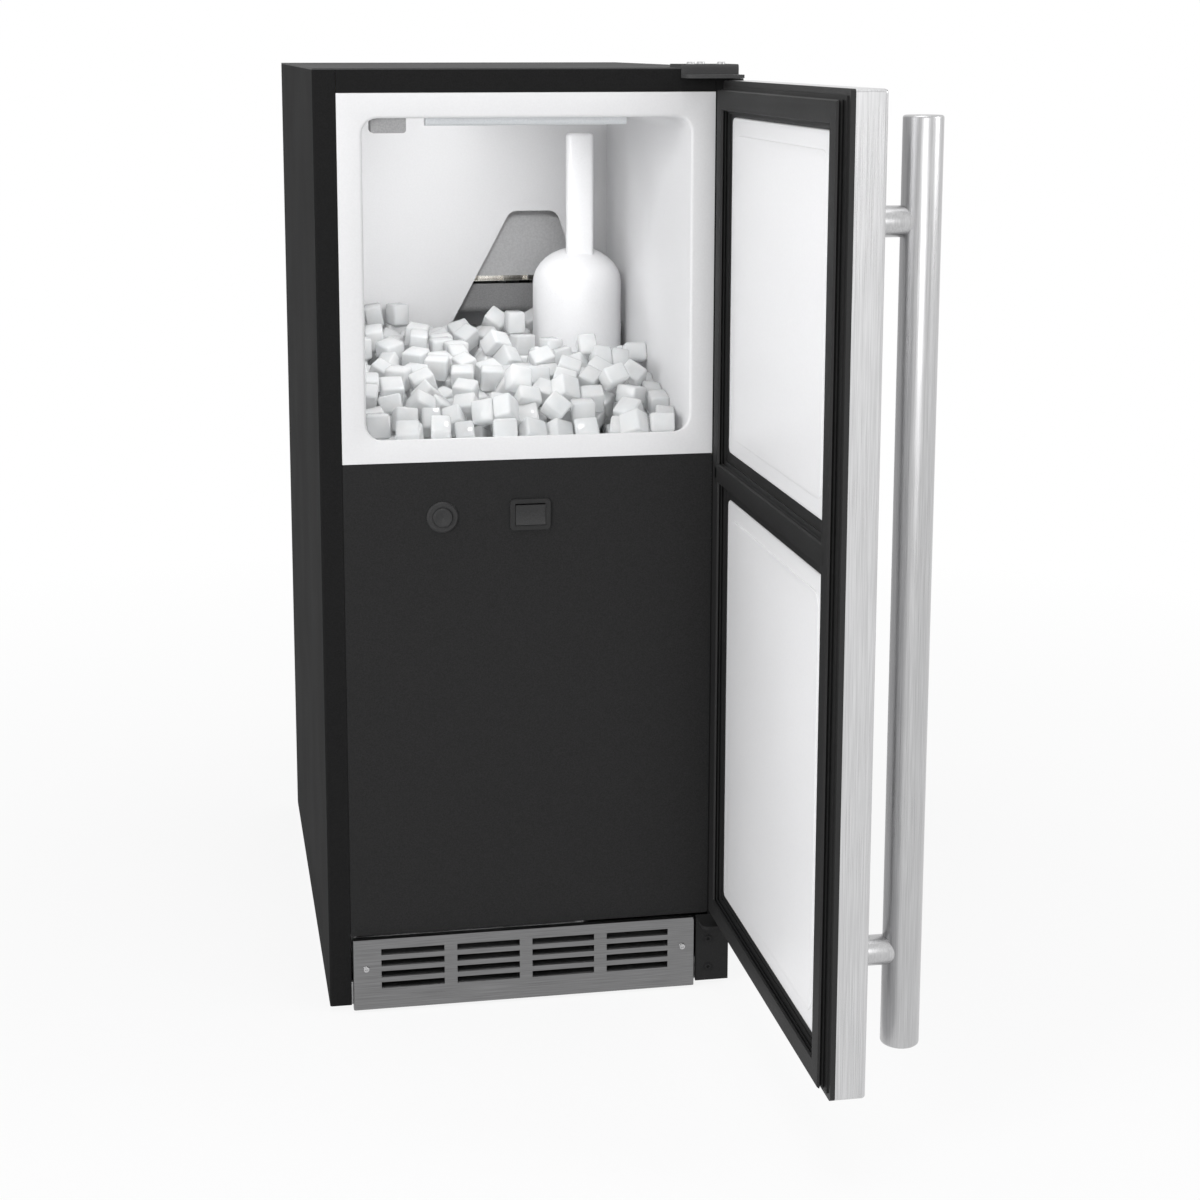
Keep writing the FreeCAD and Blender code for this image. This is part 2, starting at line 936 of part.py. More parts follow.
def ice_pile():
    """Heap of ice, lower towards the mouth and towards the right wall."""
    half = bin_half
    ground = bin_floor - liner_wall
    along = [
        (0, ground),
        (0, ice_front_top),
        (ice_back_at, ice_back_top),
        (bin_back, ice_back_top),
        (bin_back, ground),
    ]
    across = [
        (-half, ground),
        (half, ground),
        (half, ice_back_top - ice_right_drop),
        (half - ice_right_run, ice_back_top),
        (-half, ice_back_top),
    ]
    slope = prism("x", along, -half, half, [0, 0, ice_round, 0, 0])
    shoulder = prism("y", across, 0, bin_back, [0, 0, 0, ice_round, 0])
    return bin_space(ice_gap).common(slope).common(shoulder)


def ice_scoop():
    """White scoop standing in the ice, its bowl down and its round back to the front."""
    outer = scoop_radius
    inner = scoop_radius - scoop_wall
    top = scoop_bowl
    crease = scoop_wall * math.tan(math.pi / 8)
    profile = [
        (inner, 0),
        (outer, 0),
        (outer, top - scoop_shoulder),
        (outer - scoop_shoulder, top),
        (0, top),
        (0, top - scoop_wall),
        (outer - scoop_shoulder - crease, top - scoop_wall),
        (inner, top - scoop_shoulder - crease),
    ]
    bowl = turned("z", (0, 0), profile, -180)
    half = scoop_handle_width / 2
    front = -scoop_handle_setback - scoop_handle_depth
    end = top + scoop_handle_length
    section = rect(-half, front, half, -scoop_handle_setback)
    grip = prism("z", section, top - scoop_wall, end, scoop_handle_edge)
    grip = chamfer(grip, scoop_wall, lambda c: near(c.z, end))
    scoop = union([bowl, grip])
    scoop.translate(vec(scoop_x, scoop_y, scoop_z))
    return scoop


# Front panel and controls


def front_panel():
    """Black service panel under the bin, with its edges folded back."""
    outline = rect(-between_stiles, panel_bottom, between_stiles, flange_bottom - seam)
    outer = prism("y", outline, 0, panel_return, bend_radius)
    pan = outer.cut(prism("y", grown(outline, -sheet), sheet, panel_return + sheet, bend_radius - sheet))
    window = grown(rocker_opening(), rocker_frame - button_wall + seam)
    button_hole = button_radius + control_fit + button_wall + seam
    cuts = [
        punch("y", window, 0, sheet),
        drill("y", (button_x, controls_z), button_hole, 0, sheet),
    ]
    return pan.cut(cuts)


def rocker_opening():
    """Outline of the rocker itself, as seen from the front."""
    w = rocker_width / 2
    h = rocker_height / 2
    return rect(rocker_x - w, controls_z - h, rocker_x + w, controls_z + h)


def rocker_bezel():
    """Frame and body of the rocker switch."""
    flange = prism("y", grown(rocker_opening(), rocker_frame), -bezel_proud, 0, bezel_corner)
    body = prism("y", grown(rocker_opening(), rocker_frame - button_wall), 0, bezel_body)
    w = rocker_width / 2 + control_fit
    h = rocker_height / 2 + rocker_swing_room
    room = rect(rocker_x - w, controls_z - h, rocker_x + w, controls_z + h)
    pocket = prism("y", room, -bezel_proud - sheet, rocker_pivot + rocker_pocket)
    reach = w + trunnion_length
    centre = (rocker_pivot, controls_z)
    holes = rod("x", centre, trunnion_radius + pin_fit, rocker_x - reach, rocker_x + reach)
    return union([flange, body]).cut([pocket, holes])


def mode_rocker():
    """Three-position rocker, dished in the middle, on two trunnions."""
    left = rocker_x - rocker_width / 2
    z = controls_z
    h = rocker_height / 2
    face = -rocker_proud
    side_end = face + rocker_side
    low = vec(left, face, z - h)
    high = vec(left, face, z + h)
    sides = [
        high,
        vec(left, side_end, z + h - rocker_taper),
        vec(left, rocker_pivot + rocker_pocket / 2, z),
        vec(left, side_end, z - h + rocker_taper),
        low,
    ]
    dish = Part.Arc(low, vec(left, face + rocker_dish, z), high).toShape()
    outline = Part.Wire([dish] + Part.makePolygon(sides).Edges)
    body = Part.Face(outline).extrude(vec(rocker_width, 0, 0))
    reach = rocker_width / 2 + trunnion_length
    axle = rod("x", (rocker_pivot, z), trunnion_radius, rocker_x - reach, rocker_x + reach)
    return union([body, axle])


def button_bezel():
    """Ring and barrel of the push button."""
    bore = button_radius + control_fit
    barrel = bore + button_wall
    rim = barrel + button_flange
    profile = [
        (bore, -bezel_proud),
        (rim - bezel_edge, -bezel_proud),
        (rim, -bezel_proud + bezel_edge),
        (rim, 0),
        (barrel, 0),
        (barrel, bezel_body),
        (0, bezel_body),
        (0, rocker_pocket),
        (bore, rocker_pocket),
    ]
    return turned("y", (button_x, controls_z), profile)


def push_button():
    """Round cap with a dished front."""
    front = -button_proud
    back = rocker_pocket - button_travel - control_fit
    profile = [
        (0, front + button_dish),
        (button_dish_radius, front),
        (button_radius - button_edge, front),
        (button_radius, front + button_edge),
        (button_radius, back),
        (0, back),
    ]
    return turned("y", (button_x, controls_z), profile)


def toe_grille():
    """Stainless toe grille: a folded pan with rows of louvred slots in columns."""
    left = -half_width + stile_width + grille_side_gap
    right = half_width - grille_right
    front = -grille_proud
    outline = rect(left, front, right, grille_back)
    outer = prism("z", outline, grille_bottom, grille_top, [bend_radius, bend_radius, 0, 0])
    inner = rect(left + sheet, front + sheet, right - sheet, grille_back + sheet)
    pan = outer.cut(prism("z", inner, grille_bottom + sheet, grille_top - sheet))
    span = right - left - 2 * grille_side_margin
    slot_length = (span - (grille_columns - 1) * slot_bridge) / grille_columns
    blade_front = front + sheet / 2
    blade_back = front + sheet + louvre_depth
    slots = []
    louvres = []
    for column in range(grille_columns):
        x = left + grille_side_margin + column * (slot_length + slot_bridge)
        for row in range(grille_rows):
            z = grille_bottom + grille_foot_margin + row * slot_pitch
            slots.append(punch("y", rect(x, z, x + slot_length, z + slot_height), front, front + sheet))
            section = [
                (blade_front, z - louvre),
                (blade_back, z - louvre + louvre_rise),
                (blade_back, z + louvre_rise),
                (blade_front, z),
            ]
            louvres.append(prism("x", section, x, x + slot_length))
    return union([pan.cut(slots)] + louvres)


# Hinges


def top_hinge_bracket():
    """Cranked plate screwed to the roof that reaches forward over the door."""
    near_face = -seam
    far_face = -seam - hinge_plate
    roof = cabinet_height
    leaf_top = upper_leaf + hinge_plate
    outline = [
        (hinge_tail, roof),
        (hinge_tail, roof + hinge_plate),
        (far_face, roof + hinge_plate),
        (far_face, leaf_top),
        (-hinge_reach, leaf_top),
        (-hinge_reach, upper_leaf),
        (near_face, upper_leaf),
        (near_face, roof),
    ]
    right = half_width - seam
    plate = prism("x", outline, right - hinge_width, right, [0, 0, hinge_plate, 0, 0, 0, 0, 0])
    middle = upper_leaf + hinge_plate / 2
    plate = fillet(plate, hinge_corner, lambda c: near(c.y, -hinge_reach) and near(c.z, middle))
    return plate.cut(drill("z", (pivot_x, pivot_y), pin_radius + pin_fit / 2, upper_leaf, leaf_top))


def bottom_hinge_bracket():
    """Angle bracket at the foot of the right stile that carries the door."""
    near_face = -seam
    far_face = -seam - hinge_plate
    low = lower_leaf - lower_hinge_drop
    leaf_under = lower_leaf - hinge_plate
    outline = [
        (near_face, low),
        (near_face, lower_leaf),
        (-hinge_reach, lower_leaf),
        (-hinge_reach, leaf_under),
        (far_face, leaf_under),
        (far_face, low),
    ]
    left = half_width - grille_right + hinge_side_gap
    plate = prism("x", outline, left, half_width - seam)
    middle = lower_leaf - hinge_plate / 2
    plate = fillet(plate, hinge_corner, lambda c: near(c.y, -hinge_reach) and near(c.z, middle))
    return plate.cut(drill("z", (pivot_x, pivot_y), pin_radius + pin_fit / 2, leaf_under, lower_leaf))


def hinge_pins():
    """Upper pin pointing down and lower pin pointing up, on one axis."""
    centre = (pivot_x, pivot_y)
    reach = bush_length - pin_short
    upper = rod("z", centre, pin_radius, door_top - reach, upper_leaf + hinge_plate)
    lower = rod("z", centre, pin_radius, lower_leaf - hinge_plate, door_bottom + reach)
    return Part.makeCompound([upper, lower])


# Door, drawn shut


def door_skin():
    """Folded stainless pan with lips turned in behind the edges."""
    outline = rect(-half_width, door_bottom, half_width, door_top)
    outer = prism("y", outline, door_face, skin_front)
    soft = (lambda c: near(c.y, door_face) or near(abs(c.x), half_width) and not near(c.y, skin_front))
    outer = fillet(outer, skin_edge, soft)
    inner = prism("y", grown(outline, -skin), door_face + skin, skin_front - skin)
    mouth = punch("y", grown(outline, -skin_lip), skin_front - skin, skin_front)
    holes = drill("z", (pivot_x, pivot_y), bush_radius + pin_fit, door_bottom, door_top)
    return outer.cut([inner, mouth, holes])


def box_between(x0, y0, z0, x1, y1, z1):
    return Part.makeBox(x1 - x0, y1 - y0, z1 - z0, vec(x0, y0, z0))


def door_core():
    """Foam that fills the pan, with wells for the hinge bushes."""
    gap = skin + seam
    block = box_between(
        -half_width + gap + skin_edge,
        door_face + gap,
        door_bottom + gap,
        half_width - gap - skin_edge,
        skin_front - gap,
        door_top - gap,
    )
    well = bush_radius + pin_fit
    centre = (pivot_x, pivot_y)
    wells = [
        rod("z", centre, well, door_bottom, door_bottom + bush_length + seam),
        rod("z", centre, well, door_top - bush_length - seam, door_top),
    ]
    return block.cut(wells)


def door_windows():
    """Upper and lower openings of the door's black inner frame."""
    half = half_width - door_border_side
    bar_bottom = crossbar_middle - crossbar_height / 2
    bar_top = crossbar_middle + crossbar_height / 2
    return [
        rect(-half, bar_top, half, door_top - door_border_top),
        rect(-half, door_bottom + door_border_bottom, half, bar_bottom),
    ]


def door_frame():
    """Black inner frame with a crossbar, which the gasket is pressed into."""
    edge = rect(-half_width, door_bottom, half_width, door_top)
    plate = prism("y", edge, skin_front, frame_front, skin_edge)
    return plate.cut([punch("y", w, skin_front, frame_front, window_corner) for w in door_windows()])


def door_panel(window):
    """White moulded panel that fills one window of the frame and stands a little proud of it."""
    face = frame_front + door_panel_rise
    panel = prism("y", grown(window, -seam), skin_front, face, window_corner - seam)
    return chamfer(panel, door_panel_rise - seam, lambda c: near(c.y, face))


def gasket_ring(width, start, end):
    """Rectangular ring with a crossbar, of one width, centred on the gasket's own line."""
    line = gasket_inset + gasket_width / 2
    door = rect(-half_width, door_bottom, half_width, door_top)
    (left, low), _, (right, high), _ = grown(door, -line - width / 2)
    upper = rect(left, crossbar_middle + width / 2, right, high)
    lower = rect(left, low, right, crossbar_middle - width / 2)
    body = prism("y", grown(door, -line + width / 2), start, end)
    return body.cut([punch("y", window, start, end) for window in (upper, lower)])


def door_gasket():
    """Soft magnetic seal with welded corners: a flat foot, a narrow neck and a wide sealing face."""
    foot_end = frame_front + gasket_base
    face_start = gasket_front - gasket_face
    foot = gasket_ring(gasket_width, frame_front, foot_end)
    neck = gasket_ring(gasket_neck_width, foot_end, face_start)
    face = gasket_ring(gasket_face_width, face_start, gasket_front)
    face = chamfer(face, gasket_edge, lambda c: near(c.y, gasket_front))
    return union([foot, neck, face])


def handle_bar():
    """Round stainless tube."""
    low = handle_middle - handle_length / 2
    centre = (handle_x, handle_y)
    bar = rod("z", centre, handle_radius, low, low + handle_length)
    bore = drill("z", centre, handle_radius - handle_wall, low, low + handle_length)
    return bar.cut(bore)


def handle_caps():
    """Plugs that close the two ends of the tube."""
    plug = handle_radius - handle_wall - seam / 2
    caps = []
    for way in (-1, 1):
        end = handle_middle + way * handle_length / 2
        profile = [
            (0, end - way * cap_depth),
            (plug, end - way * cap_depth),
            (plug, end),
            (handle_radius, end),
            (handle_radius - cap_edge, end + way * cap_rim),
            (0, end + way * cap_rim),
        ]
        caps.append(turned("z", (handle_x, handle_y), profile))
    return Part.makeCompound(caps)


def handle_posts():
    """Round stand-offs, saddled to the tube."""
    saddle = rod("z", (handle_x, handle_y), handle_radius + seam / 2, door_bottom, door_top)
    posts = []
    for way in (-1, 1):
        centre = (handle_x, handle_middle + way * post_spacing / 2)
        posts.append(rod("y", centre, post_radius, handle_y, door_face).cut(saddle))
    return Part.makeCompound(posts)


def door_bushes():
    """Flanged plastic bushes that the hinge pins turn in; the lower one carries the door."""
    bore = pin_radius + pin_fit
    rim = pivot_inset - pin_fit
    centre = (pivot_x, pivot_y)
    bushes = []
    for end, way, flange in ((door_top, -1, hinge_clearance), (door_bottom, 1, thrust_gap)):
        profile = [
            (bore, end + way * bush_length),
            (bush_radius, end + way * bush_length),
            (bush_radius, end),
            (rim, end),
            (rim, end - way * (flange - seam)),
            (bore, end - way * (flange - seam)),
        ]
        bushes.append(turned("z", centre, profile))
    return Part.makeCompound(bushes)


# Cooling machinery


def compressor():
    """Sealed compressor shell, welded round its middle, on its foot plate."""
    low = compressor_bottom
    r = compressor_radius
    centre = (compressor_x, compressor_y)
    weld = low + weld_rise
    profile = [
        (0, low),
        (compressor_base, low),
        (r, low + compressor_base_rise),
        (r, weld),
        (r + weld_proud, weld),
        (r + weld_proud, weld + weld_height),
        (r, weld + weld_height),
        (r, compressor_top - compressor_crown_drop),
        (compressor_crown, compressor_top),
        (0, compressor_top),
    ]
    foot = grown(rect(*centre, *centre), compressor_foot)
    plate = prism("z", foot, low - compressor_plate, low, mount_radius)
    return union([turned("z", centre, profile), plate])


def compressor_mounts():
    """Four rubber feet between the compressor and the base."""
    reach = compressor_foot - mount_inset
    high = compressor_bottom - compressor_plate
    mounts = []
    for a in (-reach, reach):
        for b in (-reach, reach):
            mounts.append(rod("z", (compressor_x + a, compressor_y + b), mount_radius, base_floor, high))
    return Part.makeCompound(mounts)


def terminal_cover():
    """Cover over the relay on the compressor's left side."""
    left = compressor_x - compressor_radius - terminal_width
    half = terminal_length / 2
    low = compressor_bottom + compressor_base_rise + terminal_rise
    high = low + terminal_height
    outline = rect(left, compressor_y - half, compressor_x, compressor_y + half)
    block = prism("z", outline, low, high, [terminal_corner, 0, 0, terminal_corner])
    room = compressor_radius + weld_proud + seam
    return block.cut(drill("z", (compressor_x, compressor_y), room, low, high))


def condenser_tubes():
    """Two upright headers joined by a ladder of flat tubes."""
    half = flat_tube_depth / 2
    rungs = []
    for k in range(flat_tubes):
        z = flat_tube_start + k * flat_tube_pitch
        bar = rect(condenser_y - half, z, condenser_y + half, z + flat_tube)
        rungs.append(prism("x", bar, condenser_left, condenser_right))
    ends = (condenser_left, condenser_right)
    headers = [rod("z", (x, condenser_y), header_radius, base_floor, header_top) for x in ends]
    return union(headers + rungs)


def condenser_fins():
    """Folded fin strips between the flat tubes."""
    start = condenser_left + header_radius + fin_end_gap
    end = condenser_right - header_radius - fin_end_gap
    half = flat_tube_depth / 2
    step = (end - start) / fin_folds
    strips = []
    for k in range(flat_tubes - 1):
        low = flat_tube_start + k * flat_tube_pitch + flat_tube + seam
        high = low + flat_tube_pitch - flat_tube - 2 * seam - fin_rise
        line = [(start + i * step, low if i % 2 == 0 else high) for i in range(fin_folds + 1)]
        back = [(x, z + fin_rise) for x, z in reversed(line)]
        strips.append(prism("y", line + back, condenser_y - half, condenser_y + half))
    return Part.makeCompound(strips)


def fan_shroud():
    """Box that draws the air through the condenser into the fan's ring."""
    front = condenser_back + seam
    back = shroud_back
    centre = (fan_x, fan_z)
    outline = grown(rect(*centre, *centre), shroud_half)
    shell = prism("y", outline, front, back, shroud_corner)
    room = grown(outline, -shroud_wall)
    shell = shell.cut(prism("y", room, front - seam, back - shroud_wall, shroud_corner - shroud_wall))
    inside = fan_radius + fan_tip_gap
    ring = rod("y", centre, inside + shroud_wall, back - shroud_wall, back + shroud_ring)
    return union([shell, ring]).cut(drill("y", centre, inside, front, back + shroud_ring))


def blade_section(radius, chord, degrees):
    """Thin slanted section of a fan blade at one distance from the axis."""
    pitch = math.radians(degrees)
    along = vec(math.cos(pitch), math.sin(pitch), 0) * (chord / 2)
    thick = vec(-math.sin(pitch), math.cos(pitch), 0) * (blade / 2)
    centre = vec(fan_x, fan_y + fan_hub / 2, fan_z + radius)
    points = [centre - along - thick, centre + along - thick, centre + along + thick, centre - along + thick]
    return Part.makePolygon(points + points[:1])


def fan_blade():
    """Twisted blades on a hub."""
    hub = rod("y", (fan_x, fan_z), fan_hub_radius, fan_y, fan_y + fan_hub)
    sections = [
        blade_section(blade_root, blade_root_chord, blade_root_angle),
        blade_section(blade_middle, blade_middle_chord, blade_middle_angle),
        blade_section(blade_tip, blade_tip_chord, blade_tip_angle),
    ]
    first = Part.makeLoft(sections, True)
    step = 360 / fan_blades
    blades = [first.rotated(vec(fan_x, 0, fan_z), AXES["y"], k * step) for k in range(fan_blades)]
    bore = drill("y", (fan_x, fan_z), shaft_radius + pin_fit, fan_y, fan_y + fan_hub)
    sweep = rod("y", (fan_x, fan_z), fan_radius, fan_y - blade_tip_chord, fan_y + blade_tip_chord)
    return union([hub] + blades).common(sweep).cut(bore)


def fan_motor():
    """Motor with its shaft through the fan's hub."""
    profile = [
        (0, fan_y),
        (shaft_radius, fan_y),
        (shaft_radius, motor_front),
        (motor_radius - motor_edge, motor_front),
        (motor_radius, motor_front + motor_edge),
        (motor_radius, motor_back),
        (0, motor_back),
    ]
    return turned("y", (fan_x, fan_z), profile)


def fan_bracket():
    """Upright plate with a turned foot that holds the motor."""
    front = motor_back
    outline = [
        (front, base_floor),
        (front + bracket_foot, base_floor),
        (front + bracket_foot, base_floor + shroud_wall),
        (front + shroud_wall, base_floor + shroud_wall),
        (front + shroud_wall, fan_z + motor_radius),
        (front, fan_z + motor_radius),
    ]
    return prism("x", outline, fan_x - bracket_half, fan_x + bracket_half)


def filter_drier():
    """Spun copper drier in the liquid line."""
    taper = drier_stub + drier_shoulder
    profile = [
        (0, drier_y),
        (line_radius, drier_y),
        (line_radius, drier_y + drier_stub),
        (drier_radius, drier_y + taper),
        (drier_radius, drier_end - taper),
        (line_radius, drier_end - drier_stub),
        (line_radius, drier_end),
        (0, drier_end),
    ]
    return turned("y", (drier_x, drier_z), profile)


def refrigerant_lines():
    """Discharge, liquid, feed and suction lines."""
    top = coil_levels()[0]
    bottom = coil_levels()[-1]
    wall = foam_back + 2 * seam
    discharge = [
        (compressor_x, compressor_y, compressor_top + seam),
        (compressor_x, compressor_y, discharge_z),
        (condenser_right, condenser_y, discharge_z),
        (condenser_right, condenser_y, header_top + seam),
    ]
    liquid = [
        (condenser_right + header_radius + seam, condenser_y, drier_z),
        (drier_x, condenser_y, drier_z),
        (drier_x, drier_y - seam, drier_z),
    ]
    feed = [
        (drier_x, drier_end + seam, drier_z),
        (drier_x, chase_y, drier_z),
        (coil_reach, chase_y, top),
        (coil_reach, wall, top),
    ]
    reach = math.sqrt(compressor_radius**2 - (coil_reach - compressor_x) ** 2)
    suction = [
        (coil_reach, wall, bottom),
        (coil_reach, chase_y, bottom),
        (coil_reach, chase_y, suction_z),
        (coil_reach, compressor_y + reach + line_radius, suction_z),
    ]
    runs = [
        tube(discharge, line_radius, line_bend),
        tube(liquid, line_radius, line_bend),
        tube(feed, line_radius, tight_bend),
        tube(suction, line_radius, tight_bend),
    ]
    return Part.makeCompound(runs)


def control_box():
    """Housing of the control board, fixed behind the front panel."""
    top = foam_bottom - box_top_gap
    outline = rect(box_left, top - box_height, box_left + box_width, top)
    return prism("y", outline, sheet, sheet + box_depth, box_corner)


def water_valve():
    """Inlet valve with its hose thread through the back and a coil below."""
    centre = (valve_x, valve_z)
    front = rear_face - valve_depth
    low = valve_z - valve_half
    high = valve_z + valve_half
    end = cabinet_depth + rear_fitting
    body = prism("y", grown(rect(*centre, *centre), valve_half), front, rear_face - seam, valve_corner)
    thread_start = cabinet_depth + inlet_relief
    neck = rod("y", centre, inlet_neck, rear_face - seam, thread_start)
    thread = rod("y", centre, inlet_radius, thread_start, end)
    outlet = rod("z", (valve_x, chase_y), outlet_radius, high, high + outlet_length)
    solenoid = rod("z", (valve_x, front + valve_half), solenoid_radius, low - outlet_length, low)
    bore = rod("y", centre, inlet_bore, rear_face, end + seam)
    return union([body, neck, thread, outlet, solenoid]).cut(bore)


def drain_fitting():
    """Hose barb through the back."""
    start = foam_back + seam
    end = cabinet_depth + rear_fitting
    barb = end - barb_length
    profile = [
        (drain_bore, start),
        (drain_flange, start),
        (drain_flange, rear_face - seam),
        (drain_radius, rear_face - seam),
        (drain_radius, barb),
        (barb_root, barb),
        (drain_radius, barb + barb_step),
        (barb_root, end),
        (drain_bore, end),
    ]
    return turned("y", (drain_x, drain_z), profile)


def cord_bush():
    """Bush that lines the hole for the power cord."""
    tail = rear_face - cord_bush_tail
    end = cabinet_depth + cord_flange
    profile = [
        (cord_bore, tail),
        (cord_bush_radius, tail),
        (cord_bush_radius, cabinet_depth),
        (cord_flange_radius, cabinet_depth),
        (cord_flange_radius, end),
        (cord_bore, end),
    ]
    return turned("y", (cord_hole_x, cord_hole_z), profile)


def build():
    """Every piece by name, with the door swung to the angle that it is shown at."""
    upper_window, lower_window = door_windows()
    cabinet = {
        "left_side_panel": side_panel(-1),
        "right_side_panel": side_panel(1),
        "top_panel": top_panel(),
        "top_rail": top_rail(),
        "back_panel": back_panel(),
        "base_pan": base_pan(),
        "bin_liner": bin_liner(),
        "insulation": insulation(),
        "ice_maker_cheeks": ice_maker_cheeks(),
        "evaporator_cover": evaporator_cover(),
        "evaporator_grid": evaporator_grid(),
        "evaporator_coil": evaporator_coil(),
        "water_distributor": water_distributor(),
        "water_curtain": water_curtain(),
        "water_trough": water_trough(),
        "circulation_pump": circulation_pump(),
        "water_tubes": water_tubes(),
        "bin_light": bin_light(),
        "door_sensor": door_sensor(),
        "bin_probe": bin_probe(),
        "ice_pile": ice_pile(),
        "ice_scoop": ice_scoop(),
        "front_panel": front_panel(),
        "rocker_bezel": rocker_bezel(),
        "mode_rocker": mode_rocker(),
        "button_bezel": button_bezel(),
        "push_button": push_button(),
        "toe_grille": toe_grille(),
        "top_hinge_bracket": top_hinge_bracket(),
        "bottom_hinge_bracket": bottom_hinge_bracket(),
        "hinge_pins": hinge_pins(),
        "compressor": compressor(),
        "compressor_mounts": compressor_mounts(),
        "terminal_cover": terminal_cover(),
        "condenser_tubes": condenser_tubes(),
        "condenser_fins": condenser_fins(),
        "fan_shroud": fan_shroud(),
        "fan_blade": fan_blade(),
        "fan_motor": fan_motor(),
        "fan_bracket": fan_bracket(),
        "filter_drier": filter_drier(),
        "refrigerant_lines": refrigerant_lines(),
        "control_box": control_box(),
        "water_valve": water_valve(),
        "drain_fitting": drain_fitting(),
        "cord_bush": cord_bush(),
    }
    for name, centre in leg_places().items():
        cabinet["leg_" + name] = levelling_leg(centre)
    door = {
        "door_skin": door_skin(),
        "door_core": door_core(),
        "door_frame": door_frame(),
        "upper_door_panel": door_panel(upper_window),
        "lower_door_panel": door_panel(lower_window),
        "door_gasket": door_gasket(),
        "handle_bar": handle_bar(),
        "handle_caps": handle_caps(),
        "handle_posts": handle_posts(),
        "door_bushes": door_bushes(),
    }
    for shape in door.values():
        shape.rotate(vec(pivot_x, pivot_y, 0), AXES["z"], door_open)
    return {**cabinet, **door}


def swung(x, y):
    """Where a point of the shut door stands once the door is swung open."""
    from_pivot = vec(x - pivot_x, y - pivot_y, 0)
    return vec(pivot_x, pivot_y, 0) + FreeCAD.Rotation(AXES["z"], door_open).multVec(from_pivot)


def bottom_centre():
    """Bottom centre of the box round the whole machine as it stands, with its door open."""
    right = swung(handle_x, handle_y).x + handle_radius
    front = swung(-half_width, door_face).y
    back = cabinet_depth + rear_fitting
    return vec((right - half_width) / 2, (front + back) / 2, 0)


origin = bottom_centre()
print("origin", [round(value, 3) for value in origin])
os.makedirs("parts", exist_ok=True)
for name, shape in build().items():
    shape.translate(-origin)
    shape.exportStep("parts/" + name + ".step")
    print(name, len(shape.Solids), shape.isValid(), round(shape.Volume / 1000, 2))
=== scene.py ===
# %% [markdown]
# # A clear ice machine with its door open
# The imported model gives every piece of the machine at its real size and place, in metres.
# This lesson dresses it: finishes for all pieces, softer shapes where moulding, rubber or ice
# would show them, and the small fasteners. Nothing that the frame gives is moved.

# %% Load the frame and keep its box
import json
import math
import random
import bmesh
import bpy
from mathutils import Matrix, Vector


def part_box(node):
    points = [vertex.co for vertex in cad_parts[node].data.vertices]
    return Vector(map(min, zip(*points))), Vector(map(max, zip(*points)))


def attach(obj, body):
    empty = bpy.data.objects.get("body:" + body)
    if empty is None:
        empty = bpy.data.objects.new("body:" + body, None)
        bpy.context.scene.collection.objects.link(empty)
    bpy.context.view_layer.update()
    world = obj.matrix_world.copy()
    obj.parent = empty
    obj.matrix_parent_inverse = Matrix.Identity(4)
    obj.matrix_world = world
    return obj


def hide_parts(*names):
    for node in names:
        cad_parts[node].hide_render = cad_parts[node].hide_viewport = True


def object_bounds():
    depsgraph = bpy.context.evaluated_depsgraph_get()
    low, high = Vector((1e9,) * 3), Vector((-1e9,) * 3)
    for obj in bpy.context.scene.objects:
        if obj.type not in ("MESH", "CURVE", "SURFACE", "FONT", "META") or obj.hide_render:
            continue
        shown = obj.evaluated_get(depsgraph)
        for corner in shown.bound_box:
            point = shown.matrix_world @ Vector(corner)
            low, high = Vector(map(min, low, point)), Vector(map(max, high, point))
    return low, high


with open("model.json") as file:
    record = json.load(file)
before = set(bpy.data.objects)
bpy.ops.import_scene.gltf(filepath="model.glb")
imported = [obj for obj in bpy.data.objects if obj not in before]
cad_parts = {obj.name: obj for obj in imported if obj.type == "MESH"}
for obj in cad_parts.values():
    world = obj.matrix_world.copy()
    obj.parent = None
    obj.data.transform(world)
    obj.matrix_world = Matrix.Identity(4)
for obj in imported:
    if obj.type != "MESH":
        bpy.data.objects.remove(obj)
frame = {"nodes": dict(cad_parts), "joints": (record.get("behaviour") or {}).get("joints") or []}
cad_low, cad_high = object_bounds()
mm = 0.001
tiny = 1e-6  # two places closer than this count as one

# %% [markdown]
# ## Where things are
# A node's box says where its piece stands. The cabinet's face, its middle and the door's pivot
# are read once here, and most places further down are worked out from them.

# %% Measure the cabinet and find the pivot
left_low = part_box("left_side_panel")[0]
right_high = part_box("right_side_panel")[1]
face_y = left_low.y
middle_x = (left_low.x + right_high.x) / 2
joints = {joint["name"]: joint for joint in frame["joints"]}
pivot = Vector(joints["door_hinge"]["pos_m"])
print("face at", round(face_y, 4), "middle at", round(middle_x, 4), "pivot", [round(v, 4) for v in pivot])

# %% [markdown]
# ## The camera
# The picture was taken from the left of the machine and a little above its bin, with a long lens.
# Its upright edges are parallel, as from a level camera whose lens is shifted far down. The other
# views keep the shift and would lose the upper half of the machine, so this camera tips down a
# little and keeps only a small shift.

# %% Place the camera
camera_place = Vector((-0.339, -2.026, 0.888))
camera_yaw = math.radians(10.15)
camera_pitch = math.radians(9.73)
camera_data = bpy.data.cameras.new("camera")
camera_data.lens = 65.85
camera_data.sensor_width = 36.0
camera_data.shift_x = 0.0201
camera_data.shift_y = -0.15
camera_data.clip_end = 100.0
camera = bpy.data.objects.new("camera", camera_data)
camera.location = camera_place
camera.rotation_euler = (math.pi / 2 - camera_pitch, 0, -camera_yaw)
bpy.context.collection.objects.link(camera)
bpy.context.scene.camera = camera
bpy.context.scene.view_settings.view_transform = "Standard"
print("camera", camera_data.lens, "mm")

